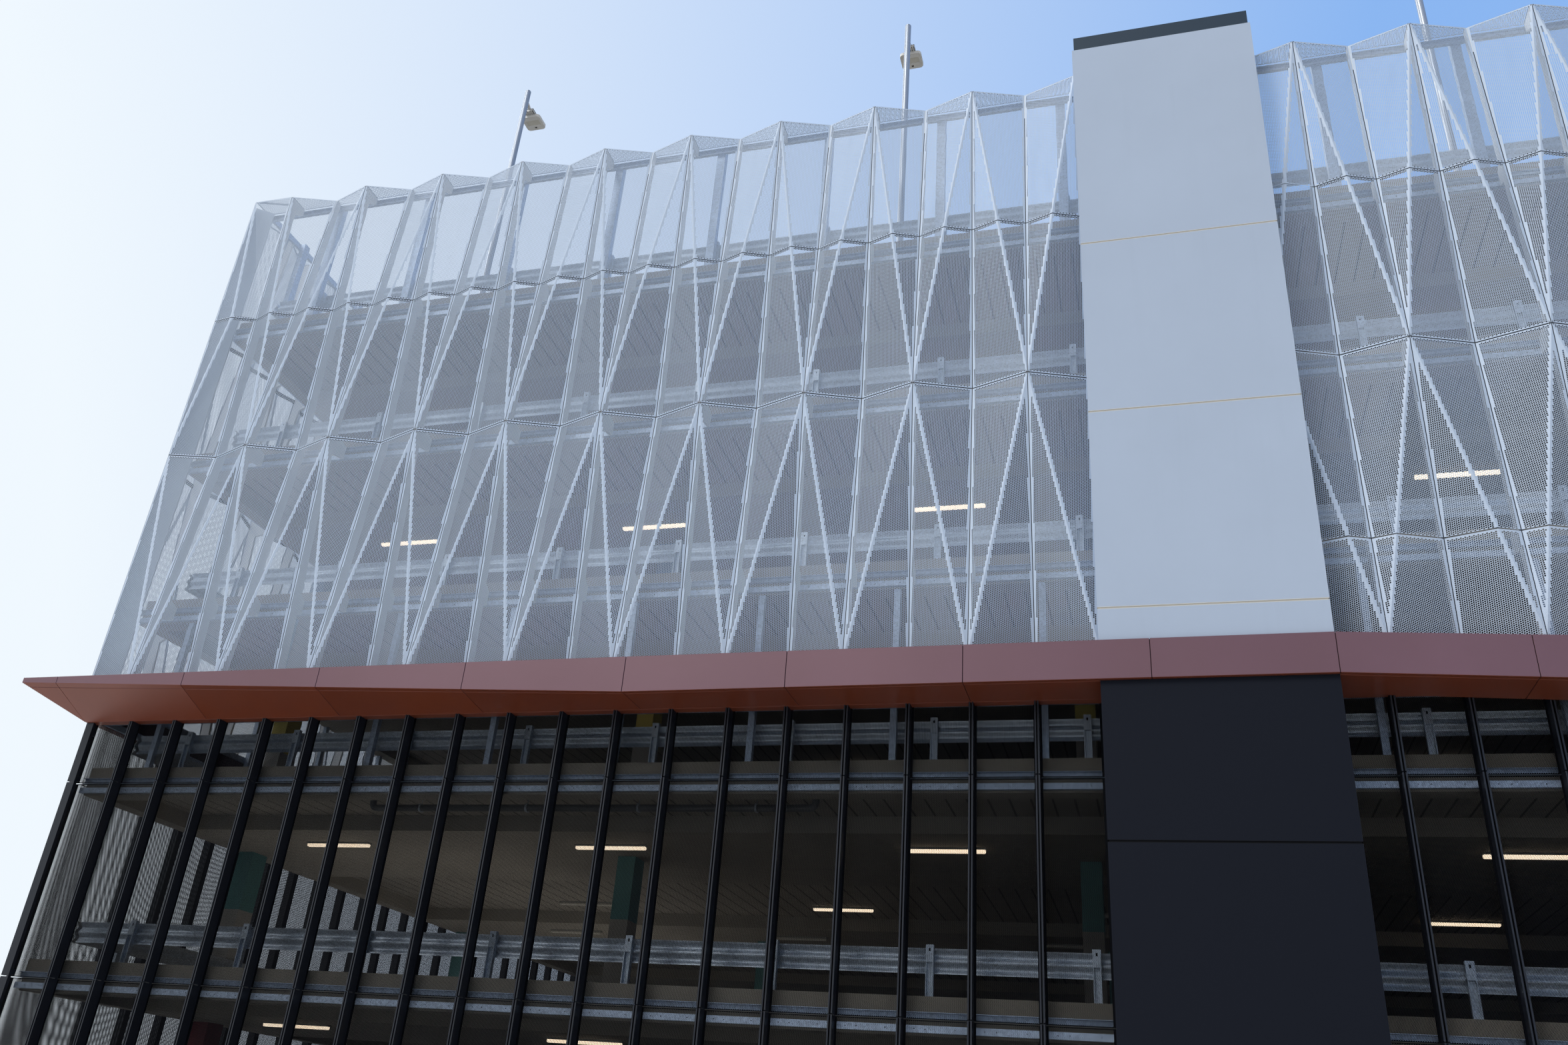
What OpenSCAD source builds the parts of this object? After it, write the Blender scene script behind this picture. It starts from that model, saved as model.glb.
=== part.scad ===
// Multi storey car park: a dark finned podium, a terracotta canopy, folded perforated
// screens above it and a rendered pier that rises through the front.
// Millimetres. +Z is up, the front faces -Y, and the origin is on the ground in mid plan.

/* [Facade grid] */
// Spacing of the podium fins and of the screen joints
bay = 865; // [800:5:930]
// Bays along the front and the back
front_bays = 41; // [37:2:43]
// Bays along each end
side_bays = 39; // [31:2:41]

/* [Storeys] */
// First joint line of the facade above the ground
first_joint = 3200; // [3000:10:3600]
// Height from one joint line to the next
storey = 3015; // [2850:5:3200]
// Top of each deck above its joint line
deck_rise = 280; // [200:5:330]
// Thickness of a deck slab
deck_thick = 200; // [160:5:260]
// Thickness of the ground floor slab
ground_thick = 200; // [120:5:300]

/* [Structure] */
// Depth of the beam around the edge of a deck
edge_beam_d = 460; // [400:5:520]
// Width of the beam around the edge of a deck
edge_beam_w = 300; // [200:5:400]
// Depth of the band beams under a deck, from the deck's top
band_beam_d = 460; // [400:5:520]
// Width of the wide, flat band beams over the columns
band_beam_w = 3800; // [3000:10:4200]
// Column size along the front
column_w = 320; // [250:5:450]
// Column size from front to back
column_d = 420; // [300:5:600]
// Column spacing along the front, in bays
column_bays = 9; // [8:1:9]

/* [Podium] */
// Length that a wall has past its whole bays, half of it at each end
wall_end = 145; // [100:5:180]
// Width of a fin
fin_w = 58; // [50:1:80]
// Depth of a fin
fin_d = 170; // [145:5:220]
// Width of the groove between a fin's two lips
groove_w = 20; // [12:1:26]
// Depth of the groove between a fin's two lips
groove_d = 110; // [60:1:120]
// Height of the slot across the fins at a joint line
fin_slot = 16; // [8:1:24]
// Depth of the fins at the corners, which stand clear of the sheets
corner_fin_d = 142; // [135:1:145]
// How far the sheets of the front and the back stop from the building's corners
sheet_in = 59; // [50:1:64]
// Thickness of the perforated sheet behind the fins
mesh_t = 4; // [3:1:8]
// Depth of the horizontal girts
girt_d = 60; // [40:1:90]
// Thickness of a girt's steel
girt_t = 5; // [3:1:8]

/* [Screens] */
// Thickness of a screen's sheet
screen_t = 4; // [3:1:8]
// Black gap between two rows of screens
screen_gap = 32; // [10:1:50]
// How far an outer vertex stands out at the middle joint line
fold_out = 336; // [280:2:360]
// How far an inner vertex stands out at the middle joint line
fold_in = 21; // [5:1:60]
// How far a joint stands out at the roof deck line
roof_joint_out = 139; // [100:1:180]
// How far a bay's middle stands out at the roof deck line
roof_mid_out = 300; // [260:2:330]
// How far an outer vertex stands out at the top edge
top_out = 230; // [180:2:280]
// How far an inner vertex stands in at the top edge
top_in = 52; // [20:1:90]
// How far the corner edges of the screens stand out
corner_out = 240; // [200:1:340]
// Depth of the mullion behind each screen joint
mullion_d = 180; // [120:2:200]
// Thickness of a mullion
mullion_t = 50; // [30:1:70]

/* [Canopy] */
// Underside of the canopy above the second joint line
canopy_rise = 1000; // [900:5:1100]
// Height of the canopy's fascia
fascia_h = 526; // [450:2:600]
// How far the canopy reaches out
canopy_out = 753; // [720:1:850]
// How far the canopy's ends reach past the corners
tip_out = 780; // [700:1:900]
// Height of the fascia at its tips
tip_h = 85; // [60:1:140]
// Bend of the fascia's lower edge from the corner, in bays
bend_bays = 11.55; // [9:0.05:14]
// Fall of the canopy beside the pier, for each millimetre along it
canopy_fall = 0.058; // [0:0.002:0.08]

/* [Pier] */
// Bays of the front left of the pier
pier_bay = 19; // [17:1:21]
// Width of the pier
pier_w = 2800; // [2600:10:3000]
// How far the pier stands out
pier_out = 692; // [600:2:700]
// Thickness of the pier's panels
pier_t = 150; // [120:2:200]
// Height of the pier's white part above the screens
pier_rise = 77; // [40:1:300]
// Height of the pier's cap
cap_h = 312; // [200:2:360]
// How far the pier's cap is set in from the pier's faces
cap_in = 30; // [15:1:60]
// Depth of the pier's panel joints
pier_groove = 12; // [6:1:25]

/* [Barriers] */
// Spacing of the barrier posts
post_gap = 2060; // [1800:10:2400]
// Height of the barrier posts above the deck
post_h = 640; // [560:5:760]
// Height of a barrier rail
rail_h = 310; // [250:5:350]
// Middle of a barrier rail above the deck
rail_mid = 450; // [400:5:500]
// Distance of the first barrier post from the rail's end
first_post = 1050; // [600:10:1500]

/* [Lamps] */
// Height of the roof lamps above the roof deck
lamp_h = 6130; // [5000:10:7000]
// Radius of a lamp pole
pole_r = 62; // [45:1:90]
// Length of a strip light
strip_l = 1280; // [1100:10:1400]

/* [Hidden] */

storeys = 5;
front_l = front_bays * bay + wall_end;
side_l = side_bays * bay + wall_end;
girt_y = fin_d + mesh_t;
edge_y = girt_y + girt_d;
screen_top = first_joint + storeys * storey;
pier_top = screen_top + pier_rise;
canopy_under = joint(2) + canopy_rise;
canopy_top = canopy_under + fascia_h;
screen_foot = canopy_top + 20;
pier_x = grid(pier_bay);
pier_end = pier_x + pier_w;
mid_line = joint(4);
roof_line = joint(5);
wing_gap = 10;
girt_up = [10, 90];
girt_low = [-150, -65];
top_rail = [-150, -30];
mesh_gap = 12;

dark = [0.06, 0.065, 0.075];
pale = [0.86, 0.88, 0.9];
steel = [0.55, 0.6, 0.66];
concrete = [0.6, 0.59, 0.56];
terracotta = [0.42, 0.19, 0.14];

function joint(k) = first_joint + (k - 1) * storey;
function deck_top(k) = k == 0 ? ground_thick : joint(k) + deck_rise;
function grid(i) = wall_end / 2 + i * bay;
function even(i) = i % 2 == 0;
function lerp(a, b, t) = a + (b - a) * t;

// Distance that a screen joint stands out, at the foot, the middle line, the roof line and the top
function foot_out(i, n) = i == 0 || i == n ? corner_out : even(i) ? fold_in : fold_out;
function line_out(i, n) = i == 0 || i == n ? corner_out : even(i) ? fold_out : fold_in;
function roof_out(i, n) = i == 0 || i == n ? corner_out : roof_joint_out;
function edge_out(i, n) = i == 0 || i == n ? corner_out : even(i) ? -top_in : top_out;
// The same at any height of a joint, which runs straight from line to line
function joint_out(i, n, z) =
    z < mid_line ? lerp(foot_out(i, n), line_out(i, n), (z - screen_foot) / (mid_line - screen_foot)) :
    z < roof_line ? lerp(line_out(i, n), roof_out(i, n), (z - mid_line) / storey) :
    lerp(roof_out(i, n), edge_out(i, n), (z - roof_line) / storey);

module centred() {
    translate([-front_l / 2, -side_l / 2, 0]) children();
}

// Places a facade's own frame, X along the wall and Y into the building, on one of the four sides
module side(name) {
    if (name == "front") centred() children();
    if (name == "back") rotate([0, 0, 180]) centred() children();
    if (name == "left")
        translate([-front_l / 2, side_l / 2, 0]) rotate([0, 0, -90]) children();
    if (name == "right")
        translate([front_l / 2, -side_l / 2, 0]) rotate([0, 0, 90]) children();
}

module block(low, high) {
    translate(low) cube(high - low);
}

// Structure

module ground_slab() {
    color(concrete) centred() difference() {
        block([0, 0, 0], [front_l, side_l, ground_thick]);
        block([pier_x, -1, -1], [pier_end, edge_y, ground_thick + 1]);
    }
}

column_rows = [5 * bay, 14.67 * bay, side_l - 14.67 * bay, side_l - 5 * bay];
column_inset = 480;
column_lines = concat(
    [for (i = [0 : 2]) column_inset + i * column_bays * bay],
    [for (i = [2 : -1 : 0]) front_l - column_inset - i * column_bays * bay]
);

module deck(k) {
    top = deck_top(k);
    color(concrete) centred() {
        block([edge_y, edge_y, top - deck_thick], [front_l - edge_y, side_l - edge_y, top]);
        edge_ring(top - edge_beam_d, top - deck_thick);
        for (y = column_rows)
            block([edge_y, y - band_beam_w / 2, top - band_beam_d],
                  [front_l - edge_y, y + band_beam_w / 2, top - deck_thick]);
    }
}

module edge_ring(low, high) {
    translate([0, 0, low]) linear_extrude(high - low) difference() {
        translate([edge_y, edge_y]) square([front_l - 2 * edge_y, side_l - 2 * edge_y]);
        translate([edge_y + edge_beam_w, edge_y + edge_beam_w])
            square([front_l - 2 * (edge_y + edge_beam_w), side_l - 2 * (edge_y + edge_beam_w)]);
    }
}

module columns(low, high) {
    color(concrete) centred() for (k = [low : high], x = column_lines, y = column_rows)
        block([x - column_w / 2, y - column_d / 2, deck_top(k)],
              [x + column_w / 2, y + column_d / 2, deck_top(k + 1) - band_beam_d]);
}

// Podium

module fin_profile() {
    polygon([
        [-fin_w / 2, 0], [-groove_w / 2, 0], [-groove_w / 2, groove_d],
        [groove_w / 2, groove_d], [groove_w / 2, 0], [fin_w / 2, 0],
        [fin_w / 2, fin_d], [-fin_w / 2, fin_d]
    ]);
}

module fin(i) {
    translate([grid(i), 0, ground_thick])
        linear_extrude(canopy_under - ground_thick) fin_profile();
}

// A fin at the end of a side wall, with the brackets that hold it to the next wall's sheet
bracket_h = 80;
bracket_z = [ground_thick + 100, joint(1) + 30, joint(2) + 30, canopy_under - 200];

module corner_fin(l, i) {
    m = i == 0 ? 0 : 1;
    translate([m * l, 0, 0]) mirror([m, 0, 0]) {
        intersection() {
            fin(0);
            block([0, 0, 0], [wall_end, corner_fin_d, canopy_under]);
        }
        for (z = bracket_z)
            block([(wall_end + fin_w) / 2, sheet_in + 20, z], [fin_d, sheet_in + 70, z + bracket_h]);
    }
}

module fins(name, n, skip) {
    l = n * bay + wall_end;
    color(dark) side(name) difference() {
        union() {
            for (i = [1 : n - 1])
                if (!skip || grid(i) + fin_w < pier_x || grid(i) - fin_w > pier_end) fin(i);
            if (name == "left" || name == "right") for (i = [0, n]) corner_fin(l, i);
        }
        for (k = [1, 2])
            block([0, -1, joint(k) - fin_slot / 2], [l, groove_d, joint(k) + fin_slot / 2]);
    }
}

module mesh_sheet(x0, x1, k) {
    low = k == 0 ? ground_thick : joint(k) + mesh_gap / 2;
    high = k == 2 ? canopy_under : joint(k + 1) - mesh_gap / 2;
    block([x0, fin_d, low], [x1, girt_y, high]);
}

module mesh(name) {
    end = name == "front" || name == "back" ? sheet_in : girt_y;
    l = name == "front" || name == "back" ? front_l : side_l;
    color(dark) side(name) for (k = [0 : 2]) {
        if (name == "front") {
            mesh_sheet(end, pier_x, k);
            mesh_sheet(pier_end, l - end, k);
        } else mesh_sheet(end, l - end, k);
    }
}

// Galvanised girts: a pair of channels at each joint line and a rail inside the screens' top edge
module channel(x0, x1, low, high, open_front) {
    y = [girt_y, edge_y];
    t = girt_t;
    translate([x1, 0, 0]) rotate([90, 0, -90]) linear_extrude(x1 - x0) scale([-1, 1])
        polygon(open_front ? [
            [y[0], low], [y[1], low], [y[1], high], [y[0], high],
            [y[0], high - t], [y[1] - t, high - t], [y[1] - t, low + t], [y[0], low + t]
        ] : [
            [y[0], low], [y[1], low], [y[1], low + t], [y[0] + t, low + t],
            [y[0] + t, high - t], [y[1], high - t], [y[1], high], [y[0], high]
        ]);
}

module girt_run(x0, x1) {
    for (k = [1 : storeys]) {
        channel(x0, x1, joint(k) + girt_up[0], joint(k) + girt_up[1], true);
        channel(x0, x1, joint(k) + girt_low[0], joint(k) + girt_low[1], false);
    }
    channel(x0, x1, screen_top + top_rail[0], screen_top + top_rail[1], true);
}

module girts(name) {
    end = name == "front" || name == "back" ? girt_y : edge_y;
    l = name == "front" || name == "back" ? front_l : side_l;
    color(steel) side(name) {
        if (name == "front") {
            girt_run(end, pier_x);
            girt_run(pier_end, l - end);
        } else girt_run(end, l - end);
    }
}

// Posts on the roof deck that carry the rail inside the screens' top edge
roof_post_w = 150;
roof_post_d = 120;
first_roof_post = 1735;

module roof_posts() {
    color(steel) for (name = ["front", "back", "left", "right"]) side(name) {
        l = name == "front" || name == "back" ? front_l : side_l;
        for (x = [first_roof_post : post_gap : l - edge_y - roof_post_w])
            block([x, edge_y, deck_top(storeys)],
                  [x + roof_post_w, edge_y + roof_post_d, screen_top + top_rail[1]]);
    }
}

// Folded screens. Each bay is a few flat triangles of sheet between points [x, out, z].

function sheet_points(p) = concat([for (v = p) [v[0], -v[1], v[2]]],
                                  [for (v = p) [v[0], -v[1] + screen_t, v[2]]]);

// One row of folded sheet over bays a to b, as a single skin
module skin(rows, tris) {
    n = len(rows);
    polyhedron(
        points = sheet_points(rows),
        faces = concat(
            [for (t = tris[0]) t],
            [for (t = tris[0]) [n + t[2], n + t[1], n + t[0]]],
            [for (e = tris[1]) [e[1], e[0], n + e[0], n + e[1]]]
        )
    );
}

// Lower row: one diagonal fold a bay, from the outer vertex above to the outer vertex below
module low_row(a, b, n, low, high) {
    m = b - a + 1;
    points = concat(
        [for (i = [a : b]) [grid(i), joint_out(i, n, low), low]],
        [for (i = [a : b]) [grid(i), joint_out(i, n, high), high]]
    );
    faces = [for (i = [0 : m - 2]) each even(a + i) ?
        [[i, m + i, i + 1], [i + 1, m + i, m + i + 1]] :
        [[i, m + i, m + i + 1], [i, m + i + 1, i + 1]]];
    rim = concat(
        [[0, m]], [for (i = [0 : m - 2]) [m + i, m + i + 1]],
        [[2 * m - 1, m - 1]], [for (i = [m - 1 : -1 : 1]) [i, i - 1]]
    );
    skin(points, [faces, rim]);
}

// Rows that meet the roof deck line, where each bay has a vertex in its middle
module peak_row(a, b, n, plain_z, peak_z, up) {
    m = b - a + 1;
    plain = [for (i = [0 : n]) joint_out(i, n, plain_z)];
    points = concat(
        [for (i = [a : b]) [grid(i), plain[i], plain_z]],
        [for (i = [a : b]) [grid(i), joint_out(i, n, peak_z), peak_z]],
        [for (i = [a : b - 1]) [grid(i + 0.5), roof_mid_out, peak_z]]
    );
    fold = [for (i = [0 : m - 2]) plain[a + i] > plain[a + i + 1]];
    faces = [for (i = [0 : m - 2]) each fold[i] ?
        [[i, m + i, 2 * m + i], [i, 2 * m + i, m + i + 1], [i, m + i + 1, i + 1]] :
        [[i, m + i, 2 * m + i], [i, 2 * m + i, i + 1], [i + 1, 2 * m + i, m + i + 1]]];
    rim = concat(
        [[0, m]], [for (i = [0 : m - 2]) each [[m + i, 2 * m + i], [2 * m + i, m + i + 1]]],
        [[2 * m - 1, m - 1]], [for (i = [m - 1 : -1 : 1]) [i, i - 1]]
    );
    turn = function (f) up ? f : [for (t = f) [for (i = [len(t) - 1 : -1 : 0]) t[i]]];
    skin(points, [turn(faces), turn(rim)]);
}

// The lower row. A split row has one more horizontal gap, at the third joint line
module row_low(a, b, n, split) {
    difference() {
        low_row(a, b, n, screen_foot, mid_line - screen_gap / 2);
        if (split)
            block([0, -2 * fold_out, joint(3) - screen_gap / 2],
                  [front_l, edge_y, joint(3) + screen_gap / 2]);
    }
}

module row_mid(a, b, n) {
    peak_row(a, b, n, mid_line + screen_gap / 2, roof_line - screen_gap / 4, true);
}

module row_top(a, b, n) {
    peak_row(a, b, n, screen_top, roof_line + screen_gap / 4, false);
    lid(a, b, n);
}

// Level sheet that closes the top of the folds, from their edge back to the girts
module lid(a, b, n) {
    translate([0, 0, screen_top]) linear_extrude(screen_t) polygon(concat(
        [for (i = [a : b]) [grid(i), -edge_out(i, n)]],
        [[grid(b), girt_y], [grid(a), girt_y]]
    ));
}

module left_wing() {
    color(pale) side("front") children();
}

module right_wing() {
    color(pale) side("front") difference() {
        children();
        block([pier_x, -2 * pier_out, 0], [pier_end + wing_gap, edge_y, screen_top + cap_h]);
    }
}

module screen(name, n) {
    color(pale) side(name) {
        row_low(0, n, n, false);
        row_mid(0, n, n);
        row_top(0, n, n);
    }
}

// Mullions: pale plates behind the screen joints, with arms back to the girts

function mullion_face(i, n, z) = [-joint_out(i, n, z) + screen_t, z];
function mullion_back(i, n, z) = [min(-joint_out(i, n, z) + screen_t + mullion_d, girt_y - 1), z];
function mullion_arm(i, n, z) = [
    mullion_back(i, n, z + 2 * girt_up[1]), [girt_y, z + girt_up[1]],
    [girt_y, z + girt_low[0]], mullion_back(i, n, z + 1.4 * girt_low[0])
];

module mullion(i, n) {
    translate([grid(i) + mullion_t / 2, 0, 0]) rotate([90, 0, -90])
        linear_extrude(mullion_t) scale([-1, 1]) polygon(concat(
            [for (z = [canopy_top, mid_line, roof_line, screen_top]) mullion_face(i, n, z)],
            [[girt_y, screen_top], [girt_y, screen_top + top_rail[0]]],
            [mullion_back(i, n, screen_top - 300)],
            mullion_arm(i, n, roof_line), mullion_arm(i, n, mid_line), mullion_arm(i, n, joint(3)),
            [mullion_back(i, n, screen_foot + 150), [girt_y, screen_foot + 60]],
            [[girt_y, canopy_top]]
        ));
}

module mullions(name, n) {
    color(pale) side(name) for (i = [1 : n - 1])
        if (name != "front" || grid(i) < pier_x - 100 || grid(i) > pier_end + 100) mullion(i, n);
}

// Plates that close the screens' corners, each on a stem from the corner of the girts
corner_t = 6;
stem = 30;

module screen_corner() {
    a = grid(0);
    mid = (a - corner_out) / 2;
    translate([0, 0, canopy_top]) linear_extrude(screen_top - canopy_top) polygon([
        [a, -corner_out], [a, -corner_out + corner_t * 1.5], [mid + stem, mid - stem + corner_t],
        [edge_y, girt_y - stem], [edge_y, girt_y], [girt_y, girt_y], [girt_y, edge_y],
        [girt_y - stem, edge_y], [mid - stem + corner_t, mid + stem],
        [-corner_out + corner_t * 1.5, a], [-corner_out, a]
    ]);
}

module screen_corners() {
    color(pale) for (m = [0, 1], q = [0, 180])
        rotate([0, 0, q]) mirror([m, 0, 0]) centred() screen_corner();
}

// Canopy

bend_x = bend_bays * bay;
bend_x2 = front_l - bend_x;
function fall(x) = canopy_fall * (min(max(x, pier_end), bend_x2) - pier_end);
function fascia_top(x) = canopy_top - fall(x);
function fascia_height(x) =
    x < bend_x ? lerp(tip_h, fascia_h, (x + tip_out) / (bend_x + tip_out)) :
    x > bend_x2 ? lerp(tip_h, fascia_h, (front_l + tip_out - x) / (bend_x + tip_out)) : fascia_h;
canopy_stations = concat(
    [-tip_out], [for (i = [0.5 : 1 : 3.5]) bend_x * i / 4], [bend_x, pier_end, bend_x2],
    [for (i = [3.5 : -1 : 0.5]) front_l - bend_x * i / 4], [front_l + tip_out]
);

function canopy_section(x) = [
    [x, -canopy_out, fascia_top(x)], [x, -canopy_out, fascia_top(x) - fascia_height(x)],
    [min(max(x, 0), front_l), 0, canopy_under - fall(x)], [min(max(x, 0), front_l), 0, canopy_top]
];

module canopy() {
    m = len(canopy_stations);
    polyhedron(
        points = [for (x = canopy_stations) each canopy_section(x)],
        faces = concat(
            [[0, 1, 2, 3], [4 * m - 1, 4 * m - 2, 4 * m - 3, 4 * m - 4]],
            [for (i = [0 : m - 2], e = [[0, 1], [1, 2], [2, 3], [3, 0]]) each [
                [4 * i + e[1], 4 * i + e[0], 4 * i + 4 + e[0]],
                [4 * i + e[1], 4 * i + 4 + e[0], 4 * i + 4 + e[1]]
            ]]
        )
    );
}

module canopy_on(name) {
    color(terracotta) side(name) {
        canopy();
        block([0, 0, canopy_under], [front_l, girt_y, canopy_top]);
    }
}

// Plain bands of the same cladding across the two ends
module end_bands() {
    for (name = ["left", "right"]) color(terracotta) side(name)
        block([girt_y, 0, canopy_under], [side_l - girt_y, girt_y, canopy_top]);
}

// Rails behind the canopy, and the posts between two decks that carry them
canopy_rail_h = 100;
canopy_rail_z = [canopy_under + 10, canopy_top - canopy_rail_h - 10];

module canopy_rails() {
    color(steel) for (name = ["front", "back", "left", "right"]) side(name) {
        l = name == "front" || name == "back" ? front_l : side_l;
        end = name == "front" || name == "back" ? girt_y : edge_y + girt_t;
        for (z = canopy_rail_z) channel(end, l - end, z, z + canopy_rail_h, true);
    }
}

canopy_post = 90;

module canopy_posts() {
    color(steel) for (name = ["front", "back", "left", "right"]) side(name) {
        l = name == "front" || name == "back" ? front_l : side_l;
        for (x = [edge_y + post_gap / 2 : post_gap : l - edge_y])
            block([x, edge_y, deck_top(2)],
                  [x + canopy_post, edge_y + canopy_post, deck_top(3) - edge_beam_d]);
    }
}

// Pier

function pier_joints() = [for (k = [2 : storeys]) joint(k) - 1022];

module pier_shell(low, high) {
    difference() {
        block([pier_x, -pier_out, low], [pier_end, edge_y, high]);
        block([pier_x + pier_t, -pier_out + pier_t, low - 1],
              [pier_end - pier_t, edge_y + 1, high + 1]);
        for (z = pier_joints()) if (z > low && z < high)
            difference() {
                block([pier_x - 1, -pier_out - 1, z - 10], [pier_end + 1, edge_y + 1, z + 10]);
                block([pier_x + pier_groove, -pier_out + pier_groove, z - 11],
                      [pier_end - pier_groove, edge_y + 2, z + 11]);
            }
    }
}

module pier_dark() {
    color([0.11, 0.12, 0.14]) side("front") pier_shell(0, canopy_under);
}

module pier_white() {
    color([0.85, 0.86, 0.87]) side("front") pier_shell(canopy_top, pier_top);
}

module pier_cap() {
    color([0.15, 0.16, 0.18]) side("front")
        block([pier_x + cap_in, -pier_out + cap_in, pier_top],
              [pier_end - cap_in, edge_y, pier_top + cap_h]);
}

// Barriers

rail_y = 440;
rail_t = 3.5;
wave = 28;
rail_profile_z = [0, 0.12, 0.22, 0.34, 0.44, 0.56, 0.66, 0.78, 0.88, 1];
rail_profile_y = [0, 0, 1, 1, 0, 0, 1, 1, 0, 0];

module rail_profile() {
    n = len(rail_profile_z);
    polygon(concat(
        [for (i = [0 : n - 1]) [rail_profile_y[i] * wave, rail_profile_z[i] * rail_h]],
        [for (i = [n - 1 : -1 : 0])
            [rail_profile_y[i] * wave + rail_t, rail_profile_z[i] * rail_h]]
    ));
}

post_w = 50;
post_d = 70;
post_wall = 6;

module post_profile() {
    polygon([
        [-post_w, -post_d], [post_w, -post_d], [post_w, 0], [post_w - post_wall, 0],
        [post_w - post_wall, -post_d + post_wall], [-post_w + post_wall, -post_d + post_wall],
        [-post_w + post_wall, 0], [-post_w, 0]
    ]);
}

// The two rail lines of a deck: along the front and back, and inside the columns at the ends
end_rail_y = column_inset + column_w / 2 + post_d + 10;
rail_lines = [
    ["front", rail_y, end_rail_y + 3 * wave, front_l - end_rail_y - 3 * wave],
    ["back", rail_y, end_rail_y + 3 * wave, front_l - end_rail_y - 3 * wave],
    ["left", end_rail_y, rail_y, side_l - rail_y],
    ["right", end_rail_y, rail_y, side_l - rail_y]
];

module barrier_rails() {
    color(steel) for (k = [1 : storeys], line = rail_lines) side(line[0])
        translate([line[3], line[1], deck_top(k) + rail_mid - rail_h / 2]) rotate([90, 0, -90])
            linear_extrude(line[3] - line[2]) scale([-1, 1]) rail_profile();
}

module barrier_posts(low, high) {
    color(steel) for (k = [low : high], line = rail_lines) side(line[0])
        for (x = [line[2] + first_post : post_gap : line[3]])
            translate([x, line[1], deck_top(k)]) linear_extrude(post_h) post_profile();
}

// Lamps

// Rows of strip lights: distance from the front, depth of what they hang under, and the middles
// of the lights along the row
strip_rows = [
    [3320, band_beam_d, [3041, 8300, 13900, 22010, 27300, 32600]],
    [9650, deck_thick, [5047, 10774, 16501, 22228, 27955, 33682]],
    [11700, band_beam_d, [3900, 9300, 15200, 20400, 26300, 31700]]
];
strip_w = 110;
strip_h = 75;

module strip_lights() {
    color([0.95, 0.85, 0.65]) for (q = [0, 180]) rotate([0, 0, q]) centred()
        for (k = [1 : storeys], row = strip_rows, x = row[2])
            translate([x, row[0], deck_top(k) - row[1]])
                block([-strip_l / 2, -strip_w / 2, -strip_h], [strip_l / 2, strip_w / 2, 0]);
}

// A drain pipe under the second deck, with its ends turned up to the slab
pipe_r = 55;
pipe_x = [4900, 12320];
pipe_y = 1400;
pipe_drop = 150;

module drain_pipe() {
    z = deck_top(2) - deck_thick;
    color([0.35, 0.36, 0.37]) centred() translate([0, pipe_y, z]) {
        translate([pipe_x[0], 0, -pipe_drop]) rotate([0, 90, 0])
            cylinder(h = pipe_x[1] - pipe_x[0], r = pipe_r, $fn = 24);
        for (x = pipe_x) translate([x, 0, -pipe_drop]) {
            sphere(r = pipe_r, $fn = 24);
            cylinder(h = pipe_drop, r = pipe_r, $fn = 24);
        }
    }
}

lamp_bays = [5.8, 15.4];
lamp_y = 1040;
foot_h = 25;
arm_drop = 420;
arm_l = 430;
arm_w = 60;
head_l = 400;
head_w = 420;
head_h = 90;

module roof_lamp() {
    cylinder(h = foot_h, r = 3 * pole_r, $fn = 32);
    cylinder(h = lamp_h, r = pole_r, $fn = 32);
    translate([0, 0, lamp_h - arm_drop]) {
        block([-arm_w / 2, 0, 0], [arm_w / 2, arm_l, arm_w]);
        block([-head_w / 2, arm_l - head_l / 2, -head_h], [head_w / 2, arm_l + head_l / 2, 0]);
    }
}

module roof_lamps() {
    color(steel) for (q = [0, 180]) rotate([0, 0, q]) for (m = [0, 1]) mirror([m, 0, 0])
        centred() for (b = lamp_bays)
            translate([b * bay, lamp_y, deck_top(storeys)]) roof_lamp();
}

ground_slab();
deck(1);  // deck_1
deck(2);  // deck_2
deck(3);  // deck_3
deck(4);  // deck_4
deck(5);  // roof_deck
columns(0, 1);  // columns_lower
columns(2, storeys - 1);  // columns_upper
fins("front", front_bays, true);  // fins_front
fins("back", front_bays, false);  // fins_back
for (name = ["left", "right"]) fins(name, side_bays, false);  // fins_ends
mesh("front");  // mesh_front
mesh("back");  // mesh_back
for (name = ["left", "right"]) mesh(name);  // mesh_ends
girts("front");  // girts_front
girts("back");  // girts_back
for (name = ["left", "right"]) girts(name);  // girts_ends
left_wing() row_low(0, pier_bay, front_bays, false);  // screen_low_left_wing
left_wing() row_mid(0, pier_bay, front_bays);  // screen_mid_left_wing
left_wing() row_top(0, pier_bay, front_bays);  // screen_top_left_wing
right_wing() row_low(pier_bay + 3, front_bays, front_bays, true);  // screen_low_right_wing
right_wing() row_mid(pier_bay + 3, front_bays, front_bays);  // screen_mid_right_wing
right_wing() row_top(pier_bay + 3, front_bays, front_bays);  // screen_top_right_wing
screen("back", front_bays);  // screen_back
screen("left", side_bays);  // screen_left
screen("right", side_bays);  // screen_right
screen_corners();
mullions("front", front_bays);  // mullions_front
mullions("back", front_bays);  // mullions_back
for (name = ["left", "right"]) mullions(name, side_bays);  // mullions_ends
canopy_on("front");  // canopy_front
canopy_on("back");  // canopy_back
end_bands();
canopy_rails();
canopy_posts();
roof_posts();
pier_dark();
pier_white();
pier_cap();
barrier_rails();
barrier_posts(1, 2);  // barrier_posts_lower
barrier_posts(3, storeys - 1);  // barrier_posts_upper
barrier_posts(storeys, storeys);  // barrier_posts_roof
strip_lights();
drain_pipe();
roof_lamps();
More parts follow.
